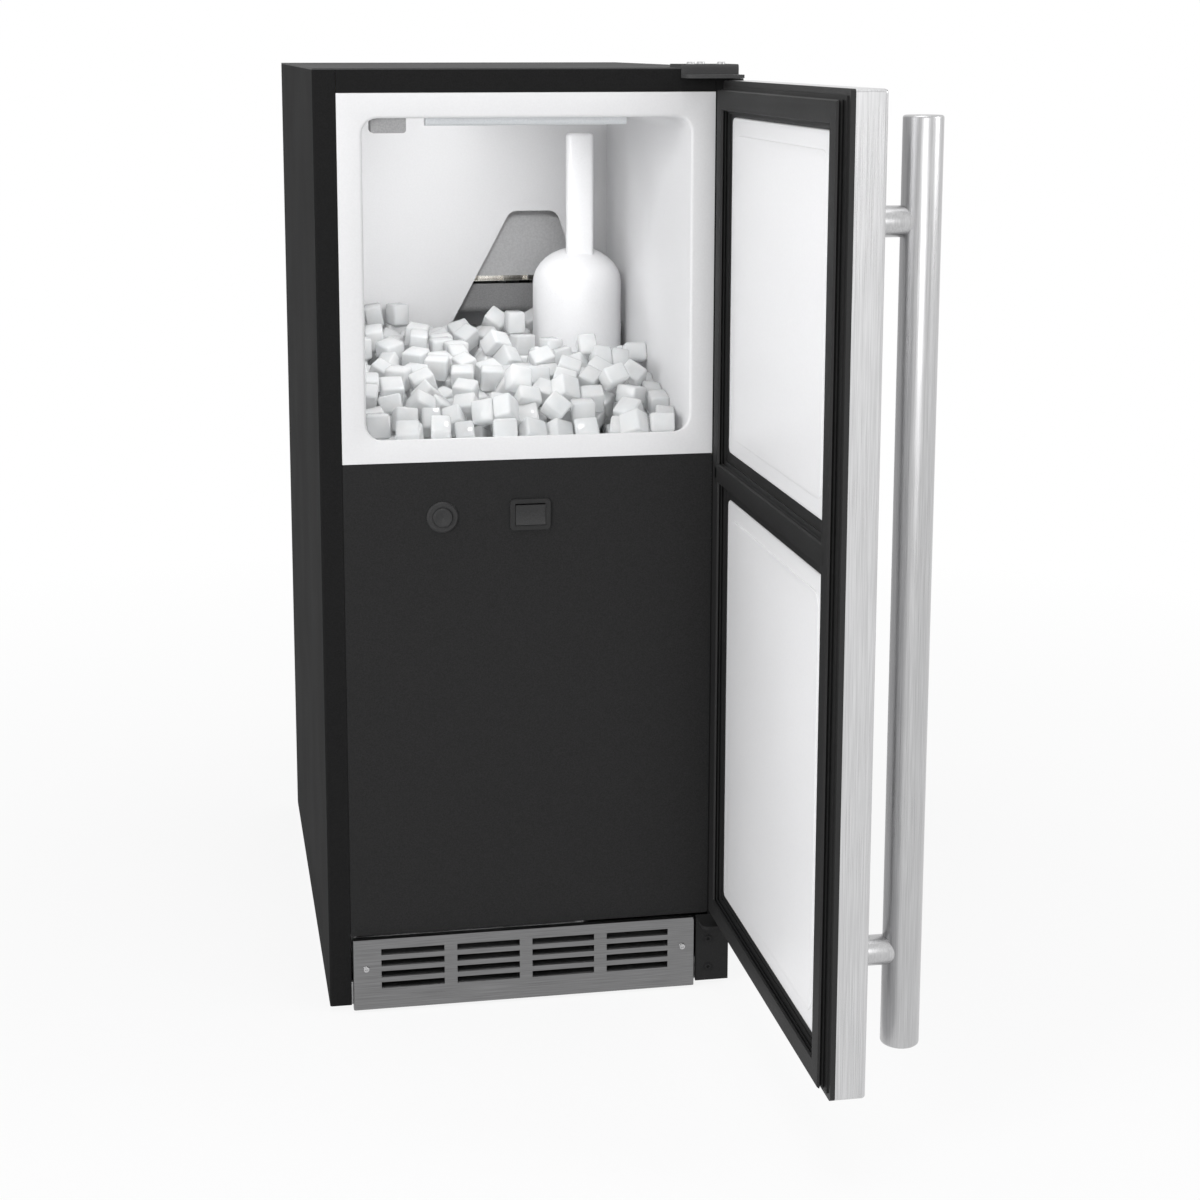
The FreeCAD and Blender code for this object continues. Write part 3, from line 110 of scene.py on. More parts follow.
# %% [markdown]
# ## Node helpers for finishes
# Most finishes here are one idea: a noise in the object's own coordinates, stretched along the
# grain where there is one, that varies colour, roughness and relief together. A second, slow
# noise adds the uneven sheen of handling and cleaning. Writing it once keeps each finish short.

# %% Add nodes and start a finish
def add(tree, kind, **inputs):
    """New node with its inputs set by name; an input that is another node's socket is linked."""
    made = tree.nodes.new("ShaderNode" + kind)
    for name, value in inputs.items():
        socket = made.inputs[name.replace("_", " ")]
        if isinstance(value, bpy.types.NodeSocket):
            tree.links.new(value, socket)
        else:
            socket.default_value = value
    return made


def start_finish(name, **constant):
    """Material with a Principled shader whose constant sockets are set."""
    material = bpy.data.materials.new(name)
    material.use_nodes = True
    shader = material.node_tree.nodes["Principled BSDF"]
    for socket, value in constant.items():
        shader.inputs[socket.replace("_", " ")].default_value = value
    return material, material.node_tree, shader


print("a finish starts from a Principled shader")

# %% Turn noise into colours and ranges
noise_middle = {"From_Min": 0.3, "From_Max": 0.7}


def grain_noise(tree, scale, stretch=(1, 1, 1), detail=4.0):
    """Noise in the object's own coordinates, stretched along a grain."""
    where = tree.nodes.new("ShaderNodeTexCoord").outputs["Object"]
    stretched = add(tree, "Mapping", Vector=where, Scale=stretch).outputs["Vector"]
    return add(tree, "TexNoise", Vector=stretched, Scale=scale, Detail=detail).outputs["Fac"]


def two_colours(tree, amount, dark, light, start=0.35, end=0.65):
    """Colour that goes from dark to light while an amount goes from start to end."""
    ramp = add(tree, "ValToRGB", Fac=amount)
    ramp.color_ramp.elements[0].position = start
    ramp.color_ramp.elements[1].position = end
    ramp.color_ramp.elements[0].color = (*dark, 1)
    ramp.color_ramp.elements[1].color = (*light, 1)
    return ramp.outputs["Color"]


def spread(tree, amount, low, high):
    """A noise's useful middle stretched over a range of values."""
    return add(tree, "MapRange", Value=amount, To_Min=low, To_Max=high, **noise_middle).outputs["Result"]


print("useful middle of a noise:", list(noise_middle.values()))

# %% Put a whole finish together
cloud_scale = 9.0
blue_trace = 1.01


def finish(name, dark, light, grain, rough, stretch=(1, 1, 1), relief=0.0, depth=0.0002, **constant):
    """Surface whose colour, roughness and relief vary with one grain, and sheen with a slow cloud."""
    material, tree, shader = start_finish(name, **constant)
    fine = grain_noise(tree, grain, stretch)
    cloud = grain_noise(tree, cloud_scale, detail=2.0)
    tree.links.new(two_colours(tree, fine, dark, light), shader.inputs["Base Color"])
    both = add(tree, "Mix", Factor=0.5, A=fine, B=cloud).outputs["Result"]
    tree.links.new(spread(tree, both, *rough), shader.inputs["Roughness"])
    if relief:
        bump = add(tree, "Bump", Strength=relief, Distance=depth, Height=fine)
        tree.links.new(bump.outputs["Normal"], shader.inputs["Normal"])
    return material


def grey(value):
    """Grey with a trace of blue."""
    return (value, value, value * blue_trace)


print("clouds are about", round(1 / cloud_scale, 2), "m across")

# %% [markdown]
# ## Painted and bare steel
# The cabinet is steel with a fine black powder coat, whose orange-peel texture breaks up its
# sheen. Its sides and top rail get a darker, duller copy of that coat, as painted shade, and its
# roof and upper hinge bracket a lighter grey copy, as a painted sheen of light grazing them. The
# door, handle and toe grille are brushed stainless: a noise stretched about eighty times along the
# grain gives hairlines in colour, roughness and relief at once. The grille's stainless is made
# much darker, as painted shade. Anisotropy alone would stretch the highlights, but leave the
# steel blank close up. Galvanised sheet has crystals, so the back and the inner sheets get a cell
# pattern instead of a noise.

# %% Make the painted finishes
black_coat = finish(
    "black_coat", grey(0.020), grey(0.027), grain=1100, rough=(0.72, 0.84),
    relief=0.25, Specular_IOR_Level=0.05,
)
# The same black coat, darker and less glossy: painted shade on the side panels and the top rail.
painted_shade_coat = finish(
    "painted_shade_coat", grey(0.012), grey(0.016), grain=1100, rough=(0.66, 0.78),
    relief=0.25, Specular_IOR_Level=0.02,
)
# A lighter grey copy of the black coat: a painted sheen for light grazing the roof and the upper hinge
# bracket.
painted_sheen_coat = finish(
    "painted_sheen_coat", grey(0.050), grey(0.065), grain=1100, rough=(0.60, 0.72),
    relief=0.2, Specular_IOR_Level=0.12,
)
print("painted finishes:", len(bpy.data.materials))

# %% Make the bare metals
hairline = 0.012
up_grain = (1, 1, hairline)
cross_grain = (hairline, 1, 1)
brushed_up = finish(
    "brushed_up", grey(0.52), grey(0.64), grain=1600, rough=(0.24, 0.36),
    stretch=up_grain, relief=0.12, Metallic=1.0,
)
brushed_bar = finish(
    "brushed_bar", grey(0.44), grey(0.55), grain=1600, rough=(0.24, 0.36),
    stretch=up_grain, relief=0.12, Metallic=1.0,
)
# The toe grille's brushed stainless, made much darker: painted shade over the grille.
brushed_across_painted_shade = finish(
    "brushed_across_painted_shade", grey(0.16), grey(0.23), grain=1600, rough=(0.26, 0.38),
    stretch=cross_grain, relief=0.12, Metallic=1.0,
)
zinc_plate = finish(
    "zinc_plate", grey(0.42), grey(0.55), grain=500, rough=(0.3, 0.45), relief=0.05, Metallic=1.0
)
nickel_plate = finish(
    "nickel_plate", (0.56, 0.54, 0.50), (0.66, 0.64, 0.60), grain=300, rough=(0.16, 0.28), Metallic=1.0
)
copper_tube = finish(
    "copper_tube", (0.55, 0.24, 0.12), (0.70, 0.34, 0.19), grain=160, rough=(0.25, 0.42), Metallic=1.0
)
fin_metal = finish(
    "fin_metal", grey(0.55), grey(0.68), grain=400, rough=(0.3, 0.42), relief=0.05, Metallic=1.0
)
print("with the bare metals:", len(bpy.data.materials))

# %% Make the enamel and the galvanised sheet
black_enamel = finish(
    "black_enamel", grey(0.012), grey(0.018), grain=60, rough=(0.14, 0.24), relief=0.06, depth=0.0006
)


def spangled_sheet():
    """Galvanised sheet, whose crystals differ in shade and gloss."""
    material, tree, shader = start_finish("spangled_sheet", Metallic=1.0)
    where = tree.nodes.new("ShaderNodeTexCoord").outputs["Object"]
    crystals = add(tree, "TexVoronoi", Vector=where, Scale=110.0).outputs["Color"]
    shade = add(tree, "SeparateColor", Color=crystals).outputs["Red"]
    colour = two_colours(tree, shade, grey(0.40), grey(0.50), start=0.0, end=1.0)
    tree.links.new(colour, shader.inputs["Base Color"])
    tree.links.new(spread(tree, shade, 0.34, 0.5), shader.inputs["Roughness"])
    return material


galvanised = spangled_sheet()
print("all metal finishes:", len(bpy.data.materials))

# %% [markdown]
# ## Plastics, rubber, foam and hose
# The bin is white moulded plastic with a satin skin. The black frame, bezels and housings are
# moulded with a light spark texture. Rubber is duller and slightly dusty. Foam is cellular, and
# only shows where the cabinet is cut open, but it still gets its cells. Pictures of real
# surfaces could be wrapped round the pieces, but a noise needs no file, has no seams, and keeps
# its scale on every piece.

# %% Make the white and clear plastics
white_liner = finish(
    "white_liner", grey(0.71), grey(0.73), grain=600, rough=(0.30, 0.40), relief=0.02, IOR=1.5
)
white_panel = finish(
    "white_panel", grey(0.83), grey(0.85), grain=500, rough=(0.34, 0.44), relief=0.03, IOR=1.5
)
scoop_white = finish(
    "scoop_white", grey(0.85), grey(0.87), grain=500, rough=(0.26, 0.36), relief=0.01, IOR=1.5
)
frosted = finish(
    "frosted", (0.78, 0.81, 0.83), (0.86, 0.88, 0.90), grain=700, rough=(0.38, 0.5),
    Transmission_Weight=0.35,
)
# The water curtain's translucent sheet, made grey: painted shade in the recess behind the ice drop
# opening.
curtain_painted_shade = finish("curtain_painted_shade", grey(0.60), grey(0.68), grain=500, rough=(0.3, 0.42), Transmission_Weight=0.15)
print("with the pale plastics:", len(bpy.data.materials))

# %% Make the dark plastics, rubber, hose and foam
black_plastic = finish(
    "black_plastic", grey(0.012), grey(0.017), grain=1500, rough=(0.46, 0.6),
    relief=0.2, Specular_IOR_Level=0.3,
)
control_grey = finish(
    "control_grey", grey(0.03), grey(0.04), grain=900, rough=(0.34, 0.44),
    relief=0.06, Specular_IOR_Level=0.15,
)
seal_rubber = finish(
    "seal_rubber", grey(0.010), grey(0.015), grain=420, rough=(0.55, 0.7),
    relief=0.12, Specular_IOR_Level=0.25,
)
clear_hose = finish(
    "clear_hose", (0.70, 0.73, 0.74), (0.80, 0.82, 0.82), grain=120, rough=(0.2, 0.32),
    Transmission_Weight=0.3,
)
foam = finish(
    "foam", (0.62, 0.54, 0.34), (0.74, 0.66, 0.45), grain=700, rough=(0.8, 0.95), relief=0.5, depth=0.0008
)
# Grey of the valve, fittings, probe and sensor; the water trough gets it too, as painted shade behind the
# ice drop.
fitting_grey_and_trough_shade = finish("fitting_grey_and_trough_shade", grey(0.26), grey(0.32), grain=700, rough=(0.4, 0.52), relief=0.1)
leg_black = finish("leg_black", grey(0.018), grey(0.026), grain=800, rough=(0.5, 0.62), relief=0.15)
print("all finishes so far:", len(bpy.data.materials))

# %% [markdown]
# ## One finish for every node
# Every solid of the frame gets a finish, also those that a closed panel hides, because the joints
# and the toe grille let some of them show. Materials could be set node by node. A table from
# each finish to its nodes is shorter, and shows at a glance what is made of what.

# %% Dress the nodes
finishes = {
    black_coat: "front_panel bottom_hinge_bracket",
    painted_shade_coat: "left_side_panel right_side_panel top_rail",
    painted_sheen_coat: "top_panel top_hinge_bracket",
    galvanised: "back_panel base_pan fan_bracket",
    brushed_up: "door_skin",
    brushed_bar: "handle_bar handle_caps handle_posts",
    brushed_across_painted_shade: "toe_grille",
    white_liner: "bin_liner evaporator_cover ice_maker_cheeks ice_pile",
    white_panel: "upper_door_panel lower_door_panel",
    scoop_white: "ice_scoop",
    frosted: "bin_light",
    curtain_painted_shade: "water_curtain",
    black_plastic: "door_frame rocker_bezel circulation_pump fan_shroud fan_blade "
    "terminal_cover control_box cord_bush door_bushes water_distributor",
    control_grey: "mode_rocker button_bezel push_button",
    seal_rubber: "door_gasket compressor_mounts",
    clear_hose: "water_tubes",
    foam: "insulation door_core",
    nickel_plate: "evaporator_grid",
    copper_tube: "evaporator_coil refrigerant_lines filter_drier",
    fin_metal: "condenser_tubes condenser_fins",
    black_enamel: "compressor",
    zinc_plate: "fan_motor hinge_pins",
    # The water trough takes this grey as painted shade behind the ice drop.
    fitting_grey_and_trough_shade: "water_valve drain_fitting bin_probe water_trough door_sensor",
    leg_black: "leg_front_left leg_front_right leg_rear_left leg_rear_right",
}
dressed = 0
for material, names in finishes.items():
    for name in names.split():
        mesh = frame["nodes"][name].data
        mesh.materials.clear()
        mesh.materials.append(material)
        dressed += 1
print("dressed", dressed, "of", len(frame["nodes"]))

# %% [markdown]
# ## Making and placing new pieces
# Moulded plastic, rubber and brushed tube have soft edges that catch the light, so the pieces
# that show most are made again here. The frame's own meshes can't simply be bevelled, because
# they are loose triangles. Each of these pieces stands for the node that it replaces, rides the
# same body, and keeps that node's size. A box with rolled edges is the start of many of them.

# %% Make boxes and roll their edges
def box_mesh(low, high):
    """Box between two corners."""
    made = bmesh.new()
    bmesh.ops.create_cube(made, size=1.0)
    bmesh.ops.scale(made, vec=Vector(high) - Vector(low), verts=made.verts)
    bmesh.ops.translate(made, vec=(Vector(low) + Vector(high)) / 2, verts=made.verts)
    return made


def roll(made, edges, radius, segments):
    """Edges rounded to a radius."""
    bmesh.ops.bevel(
        made, geom=list(edges), offset=radius, offset_type="OFFSET", affect="EDGES",
        segments=segments, profile=0.5, material=-1, clamp_overlap=True,
    )


def along(edge, axis):
    """True for an edge that runs along one axis: 0, 1 or 2 for X, Y or Z."""
    step = (edge.verts[1].co - edge.verts[0].co).normalized()
    nearly_whole = 0.999
    return abs(step[axis]) > nearly_whole


def middle_of(edge):
    return (edge.verts[0].co + edge.verts[1].co) / 2


sample = box_mesh((0, 0, 0), (1, 1, 1))
print("a box has", len(sample.faces), "faces before its edges are rolled")
sample.free()

# %% Take what an operator made, and add one mesh to another
def new_verts(geom):
    return [item for item in geom if isinstance(item, bmesh.types.BMVert)]


def new_edges(geom):
    return [item for item in geom if isinstance(item, bmesh.types.BMEdge)]


def as_mesh(name, made):
    """Mesh data from a finished bmesh, which is freed."""
    mesh = bpy.data.meshes.new(name)
    made.to_mesh(mesh)
    made.free()
    return mesh


def join(made, other):
    """Adds another bmesh and frees it."""
    mesh = as_mesh("joined", other)
    made.from_mesh(mesh)
    bpy.data.meshes.remove(mesh)


def add_copies(made, mesh, matrices):
    """Adds a copy of a mesh at every matrix, and removes the mesh."""
    for matrix in matrices:
        before = len(made.verts)
        made.from_mesh(mesh)
        made.verts.ensure_lookup_table()
        bmesh.ops.transform(made, matrix=matrix, verts=made.verts[before:])
    bpy.data.meshes.remove(mesh)


print("meshes so far:", len(bpy.data.meshes))

# %% Hang a piece on its body
def piece(name, made, material, body, nodes=(), sharp=35):
    """Object from a finished mesh, shaded smooth up to an angle, hung on its body and hiding the nodes it
    replaces.
    """
    bmesh.ops.recalc_face_normals(made, faces=made.faces)
    mesh = as_mesh(name, made)
    mesh.materials.append(material)
    mesh.shade_smooth()
    mesh.set_sharp_from_angle(angle=math.radians(sharp))
    shown = bpy.data.objects.new(name, mesh)
    bpy.context.collection.objects.link(shown)
    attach(shown, body)
    if nodes:
        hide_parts(*nodes)
    print(name, len(mesh.polygons), "faces")


# %% [markdown]
# ## The bin
# The bin is one sheet of white plastic drawn into a mould: a deep box with a sloping lip and a
# flat flange round its mouth. It could be cut out of a block, but a cut leaves slivers where
# round corners meet. Here its side outline is pushed across the bin, the corners are rolled, the
# front is opened, and the edge of the mouth is drawn out to the flange. A thickness is added
# last, on the outside, as the sheet would have it. A white bead then closes the joint between
# the bin's walls and the cover at its back, as a fitter would with sealant.

# %% Measure the bin
liner_low, liner_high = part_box("bin_liner")
panel_gap = 0.3 * mm
flange_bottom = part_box("front_panel")[1].z + panel_gap
wall = 3 * mm
flange = 22 * mm
mouth_half = (liner_high.x - liner_low.x) / 2 - flange
mouth_top = liner_high.z - flange
mouth_bottom = flange_bottom + flange
bin_back = liner_high.y - wall
bin_floor = liner_low.z + wall
bin_front = face_y + 70 * mm
lip_drop = 30 * mm
floor_fall = 6 * mm
print("mouth", round(2 * mouth_half / mm), "by", round((mouth_top - mouth_bottom) / mm), "mm")

# %% Push its outline across and roll the corners
bin_corner = 20 * mm
side_corner = 13.6 * mm
side_outline = [
    (face_y, mouth_top),
    (bin_back, mouth_top),
    (bin_back, bin_floor),
    (bin_front, bin_floor + floor_fall),
    (bin_front, mouth_bottom - lip_drop),
    (face_y, mouth_bottom),
]
liner = bmesh.new()
corners = [liner.verts.new((middle_x - mouth_half, y, z)) for y, z in side_outline]
pushed = bmesh.ops.extrude_face_region(liner, geom=[liner.faces.new(corners)])["geom"]
bmesh.ops.translate(liner, vec=(2 * mouth_half, 0, 0), verts=new_verts(pushed))
inner = [edge for edge in liner.edges if along(edge, 0) and middle_of(edge).y > face_y + mm]
roll(liner, inner, bin_corner, segments=5)
front = [f for f in liner.faces if all(abs(v.co.y - face_y) < tiny for v in f.verts)]
bmesh.ops.delete(liner, geom=front, context="FACES_ONLY")
sides = [
    edge for edge in liner.edges
    if not edge.is_boundary and abs(abs(middle_of(edge).x - middle_x) - mouth_half) < tiny
]
roll(liner, sides, side_corner, segments=5)
print("bin without its flange:", len(liner.faces), "faces")

# %% Draw out the flange and thicken the sheet
lip_roll = 3 * mm
sheet = 2.7 * mm
mouth = [edge for edge in liner.edges if edge.is_boundary]
rim = new_verts(bmesh.ops.extrude_edge_only(liner, edges=mouth)["geom"])
outer_half = mouth_half + flange
mouth_middle = (mouth_top + mouth_bottom) / 2
outer_rise = (liner_high.z - flange_bottom) / 2
for vert in rim:
    across = vert.co.x - middle_x
    up = vert.co.z - mouth_middle
    reach = min(outer_half / max(abs(across), tiny), outer_rise / max(abs(up), tiny))
    vert.co.x = middle_x + across * reach
    vert.co.z = mouth_middle + up * reach
for x in (-outer_half, outer_half):
    for z in (-outer_rise, outer_rise):
        corner = Vector((middle_x + x, face_y, mouth_middle + z))
        min(rim, key=lambda vert: (vert.co - corner).length).co = corner
rolled_lip = [edge for edge in mouth if edge.is_valid]
roll(liner, rolled_lip, lip_roll, segments=3)
bmesh.ops.recalc_face_normals(liner, faces=liner.faces)
back_wall = max(liner.faces, key=lambda f: f.calc_center_median().y)
if back_wall.normal.y > 0:
    bmesh.ops.reverse_faces(liner, faces=liner.faces)
bmesh.ops.solidify(liner, geom=liner.faces[:], thickness=sheet)
piece("moulded_bin", liner, white_liner, "cabinet", ["bin_liner"])

# %% Close the joint round the cover
cover_low, cover_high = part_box("evaporator_cover")
overlap = 1 * mm
bead_front = cover_low.y + 0.4 * mm
bead_back = cover_low.y + 2.6 * mm
wall_left = middle_x - mouth_half - overlap
wall_right = middle_x + mouth_half + overlap
bead_runs = [
    ((wall_left, cover_low.z), (cover_low.x + overlap, cover_high.z)),
    ((cover_high.x - overlap, cover_low.z), (wall_right, cover_high.z)),
    ((wall_left, cover_high.z - overlap), (wall_right, mouth_top + overlap)),
]
bead = bmesh.new()
for (left, low), (right, high) in bead_runs:
    join(bead, box_mesh((left, bead_front, low), (right, bead_back, high)))
piece("cover_bead", bead, white_liner, "cabinet")

# %% [markdown]
# ## The door's panels, seal and handle
# These are made on the shut door, where their edges run along the axes, and then turned about
# the hinge with the door. A panel is a plate with a raised field. The seal is a rubber
# extrusion with two bellows folds, mitred at the corners: a rectangle drawn on from one point of
# its profile to the next, and bridged to its start at the foot. The profile could be swept along
# a curve instead, but a sweep thins at sharp corners. The handle is a brushed tube on two
# stand-offs.

# %% Turn pieces with the door
door_angle = math.radians(90)  # how far open the frame's door stands at rest
door_turn = Matrix.Rotation(door_angle, 3, "Z")


def shut_box(node):
    """Box of a door node with the door turned shut."""
    low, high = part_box(node)
    across = pivot.x - pivot.y
    along_y = pivot.x + pivot.y
    return (
        Vector((low.y + across, along_y - high.x, low.z)),
        Vector((high.y + across, along_y - low.x, high.z)),
    )


def open_door(made):
    """Turns a piece made on the shut door to where the open door has it."""
    bmesh.ops.rotate(made, cent=pivot, matrix=door_turn, verts=made.verts)


print("shut door starts at", [round(v, 4) for v in shut_box("door_skin")[0]])

# %% Mould the two panels
def rolled_plate(low, high, corner, edge_radius):
    """Plate with rounded corners, whose rim towards the bin is rolled."""
    made = box_mesh(low, high)
    roll(made, [edge for edge in made.edges if along(edge, 1)], corner, segments=5)
    rim_edges = [edge for edge in made.edges if abs(middle_of(edge).y - high.y) < tiny]
    roll(made, rim_edges, edge_radius, segments=3)
    return made


def panel(name, node):
    """Plate with a raised field, inset by a border all round."""
    low, high = shut_box(node)
    border = Vector((15 * mm, 0, 15 * mm))
    field_rise = Vector((0, 1.2 * mm, 0))
    made = rolled_plate(low, high - field_rise, corner=6 * mm, edge_radius=1.5 * mm)
    field = rolled_plate(low + border, high - border, corner=12 * mm, edge_radius=1.1 * mm)
    join(made, field)
    open_door(made)
    piece(name, made, white_panel, "door", [node])


panel("upper_panel", "upper_door_panel")
panel("lower_panel", "lower_door_panel")

# %% Draw the seal round the door
seal_low, seal_high = shut_box("door_gasket")
foot_y = seal_low.y
seal_rise = seal_high.y - seal_low.y
seal_line = 12 * mm
# Each point of the fold: millimetres inward from the seal's line, and share of the seal's rise.
fold = [
    (-12, 0), (-12, 0.16), (-8, 0.28), (-9.5, 0.46), (-7, 0.6), (-9, 0.76), (-8, 0.95), (-5, 1),
    (5, 1), (8, 0.95), (9, 0.76), (7, 0.6), (9.5, 0.46), (8, 0.28), (12, 0.16), (12, 0),
]
seal = bmesh.new()
seal_middle = (seal_low + seal_high) / 2
upright = Matrix.Translation(seal_middle) @ Matrix.Rotation(math.radians(90), 4, "X")
first_size = 0.1  # any size will do, because the loop below sets every corner
bmesh.ops.create_grid(seal, x_segments=1, y_segments=1, size=first_size, matrix=upright)
bmesh.ops.delete(seal, geom=seal.faces[:], context="FACES_ONLY")
first_ring = seal.edges[:]
ring_edges = first_ring
ring_verts = seal.verts[:]
for k, (inward, rise) in enumerate(fold):
    if k:
        drawn = bmesh.ops.extrude_edge_only(seal, edges=ring_edges)["geom"]
        ring_edges = new_edges(drawn)
        ring_verts = new_verts(drawn)
    inset = seal_line + inward * mm
    for vert in ring_verts:
        vert.co.x = seal_low.x + inset if vert.co.x < seal_middle.x else seal_high.x - inset
        vert.co.z = seal_low.z + inset if vert.co.z < seal_middle.z else seal_high.z - inset
        vert.co.y = foot_y + rise * seal_rise
bmesh.ops.bridge_loops(seal, edges=first_ring + ring_edges)
print("seal round the door:", len(seal.faces), "faces")

# %% Draw the seal's bar between the panels
upper_low = shut_box("upper_door_panel")[0]
lower_high = shut_box("lower_door_panel")[1]
bar_z = (upper_low.z + lower_high.z) / 2
start_x = seal_low.x + seal_line
bar = [seal.verts.new((start_x, foot_y + rise * seal_rise, bar_z + inward * mm)) for inward, rise in fold]
bar_end = bmesh.ops.extrude_face_region(seal, geom=[seal.faces.new(bar)])["geom"]
bar_length = seal_high.x - seal_low.x - 2 * seal_line
bmesh.ops.translate(seal, vec=(bar_length, 0, 0), verts=new_verts(bar_end))
open_door(seal)
piece("folded_seal", seal, seal_rubber, "door", ["door_gasket"], sharp=50)

# %% Turn the handle
def cylinder(made, start, end, radius, segments):
    """Closed round bar between two points, added to a mesh."""
    start, end = Vector(start), Vector(end)
    way = end - start
    place = Matrix.Translation((start + end) / 2) @ way.to_track_quat("Z", "Y").to_matrix().to_4x4()
    bmesh.ops.create_cone(
        made, cap_ends=True, segments=segments, radius1=radius, radius2=radius,
        depth=way.length, matrix=place,
    )


bar_low, bar_high = shut_box("handle_bar")
cap_low, cap_high = shut_box("handle_caps")
bar_radius = (bar_high.x - bar_low.x) / 2
bar_middle = (bar_low + bar_high) / 2
end_roll = 2 * mm
grip = bmesh.new()
bar_foot = (bar_middle.x, bar_middle.y, cap_low.z)
bar_head = (bar_middle.x, bar_middle.y, cap_high.z)
cylinder(grip, bar_foot, bar_head, bar_radius, segments=64)
end_reach = (cap_high.z - cap_low.z) / 2 - mm
ends = [e for e in grip.edges if abs(middle_of(e).z - bar_middle.z) > end_reach]
roll(grip, ends, end_roll, segments=3)
open_door(grip)
piece("grip_bar", grip, brushed_bar, "door", ["handle_bar", "handle_caps"])

# %% Turn its stand-offs
post_low, post_high = shut_box("handle_posts")
post_radius = (post_high.x - post_low.x) / 2
collar = 2 * mm
collar_lip = 1.5 * mm
post_roll = 0.5 * mm
posts = bmesh.new()
for z in (post_low.z + post_radius, post_high.z - post_radius):
    post_head = (bar_middle.x, bar_middle.y, z)
    post_foot = (bar_middle.x, post_high.y, z)
    collar_head = (bar_middle.x, post_high.y - collar, z)
    cylinder(posts, post_head, post_foot, post_radius, segments=48)
    cylinder(posts, collar_head, post_foot, post_radius + collar_lip, segments=48)
roll(posts, [e for e in posts.edges if not along(e, 1)], post_roll, segments=2)
open_door(posts)
piece("stand_offs", posts, brushed_bar, "door", ["handle_posts"])

# %% [markdown]
# ## The scoop
# The scoop is a white moulding: half of a round bowl that ends in a dome, with a flat grip on
# the dome. An outline could be spun into the same bowl. A sphere gives the dome in one call, so
# the dome is cut from one, its lower edge is drawn down into the bowl, and the sheet gets its
# thickness before the grip is set on.

# %% Cut the dome and draw the bowl down from it
scoop_low, scoop_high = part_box("ice_scoop")
bowl_radius = (scoop_high.x - scoop_low.x) / 2
bowl_height = 104 * mm
dome = 0.8  # height of the dome as a share of its radius
bowl_depth = bowl_height - dome * bowl_radius
bowl_rings = 3
scoop_sheet = 2.2 * mm
scoop = bmesh.new()
bmesh.ops.create_uvsphere(scoop, u_segments=32, v_segments=16, radius=bowl_radius)
for normal in ((0, 0, -1), (0, 1, 0)):
    whole = scoop.verts[:] + scoop.edges[:] + scoop.faces[:]
    bmesh.ops.bisect_plane(
        scoop, geom=whole, plane_co=(0, 0, 0), plane_no=normal, clear_outer=True, dist=tiny
    )
bmesh.ops.scale(scoop, vec=(1, 1, dome), verts=scoop.verts)
lower = [e for e in scoop.edges if e.is_boundary and all(abs(v.co.z) < tiny for v in e.verts)]
for ring in range(bowl_rings):
    drawn = bmesh.ops.extrude_edge_only(scoop, edges=lower)["geom"]
    bmesh.ops.translate(scoop, vec=(0, 0, -bowl_depth / bowl_rings), verts=new_verts(drawn))
    lower = new_edges(drawn)
bmesh.ops.recalc_face_normals(scoop, faces=scoop.faces)
bmesh.ops.solidify(scoop, geom=scoop.faces[:], thickness=scoop_sheet)
bmesh.ops.translate(scoop, vec=(0, 0, bowl_depth), verts=scoop.verts)
print("bowl and dome:", len(scoop.faces), "faces")

# %% Set on the grip
grip_low = Vector((-14, -24, 92)) * mm
grip_high = Vector((14, -10, 222)) * mm
grip_roll = 5 * mm
handle = box_mesh(grip_low, grip_high)
soft_edges = [e for e in handle.edges if along(e, 2) or middle_of(e).z > grip_high.z - mm]
roll(handle, soft_edges, grip_roll, segments=4)
join(scoop, handle)
scoop_place = Vector(((scoop_low.x + scoop_high.x) / 2, scoop_low.y + bowl_radius, scoop_low.z))
bmesh.ops.translate(scoop, vec=scoop_place, verts=scoop.verts)
piece("moulded_scoop", scoop, scoop_white, "scoop", ["ice_scoop"], sharp=45)

# %% [markdown]
# ## The ice
# The machine freezes clear cubes on a grid plate and drops them into the bin. Cubes set out by a
# formula look stacked. Real ones lie as they fell, so they are dropped here too: a few hundred
# blocks fall onto a bed that follows the heap, and come to rest against the walls, the scoop and
# each other. The bed itself is the firm ice below.

# %% Describe the heap
ice_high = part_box("ice_pile")[1]
cube_size = Vector((22, 22, 18)) * mm
layer_rise = 16 * mm
loose_depth = 62 * mm
one_layer = 22 * mm
heap_front = mouth_bottom - 16 * mm
heap_back = ice_high.z
ridge = cover_low.z + 7 * mm
ridge_y = cover_low.y - 22 * mm
right_run = 46 * mm
right_drop = 22 * mm
mound_rise = 26 * mm
mound_reach = 100 * mm
mound_ahead = 14 * mm
mound_middle = scoop_place - Vector((0, bowl_radius + mound_ahead, 0))


def heap_top(x, y):
    """Height of the heap: highest before the cover and the scoop, lower at the mouth and the right."""
    if y > ridge_y + cube_size.y:
        slope = heap_back
    else:
        slope = heap_front + (ridge - heap_front) * (y - face_y) / (ridge_y - face_y)
    fall = max(0.0, (x - (middle_x + mouth_half - right_run)) / right_run)
    away = math.hypot(x - mound_middle.x, y - mound_middle.y)
    mound = mound_rise * max(0.0, 1 - away / mound_reach)
    return min(slope, ridge) + mound - right_drop * fall


print("heap before the scoop reaches", round(heap_top(mound_middle.x, mound_middle.y), 3), "m")

# %% Describe the firm ice below
scoop_bed = scoop_low.z - 4 * mm
bed_ahead = 10 * mm
bed_margin = 15 * mm


def lip_top(y):
    """Height of the sloping lip, and of the bin's floor behind it."""
    if y > bin_front:
        return bin_floor
    return mouth_bottom - lip_drop * (y - face_y) / (bin_front - face_y)


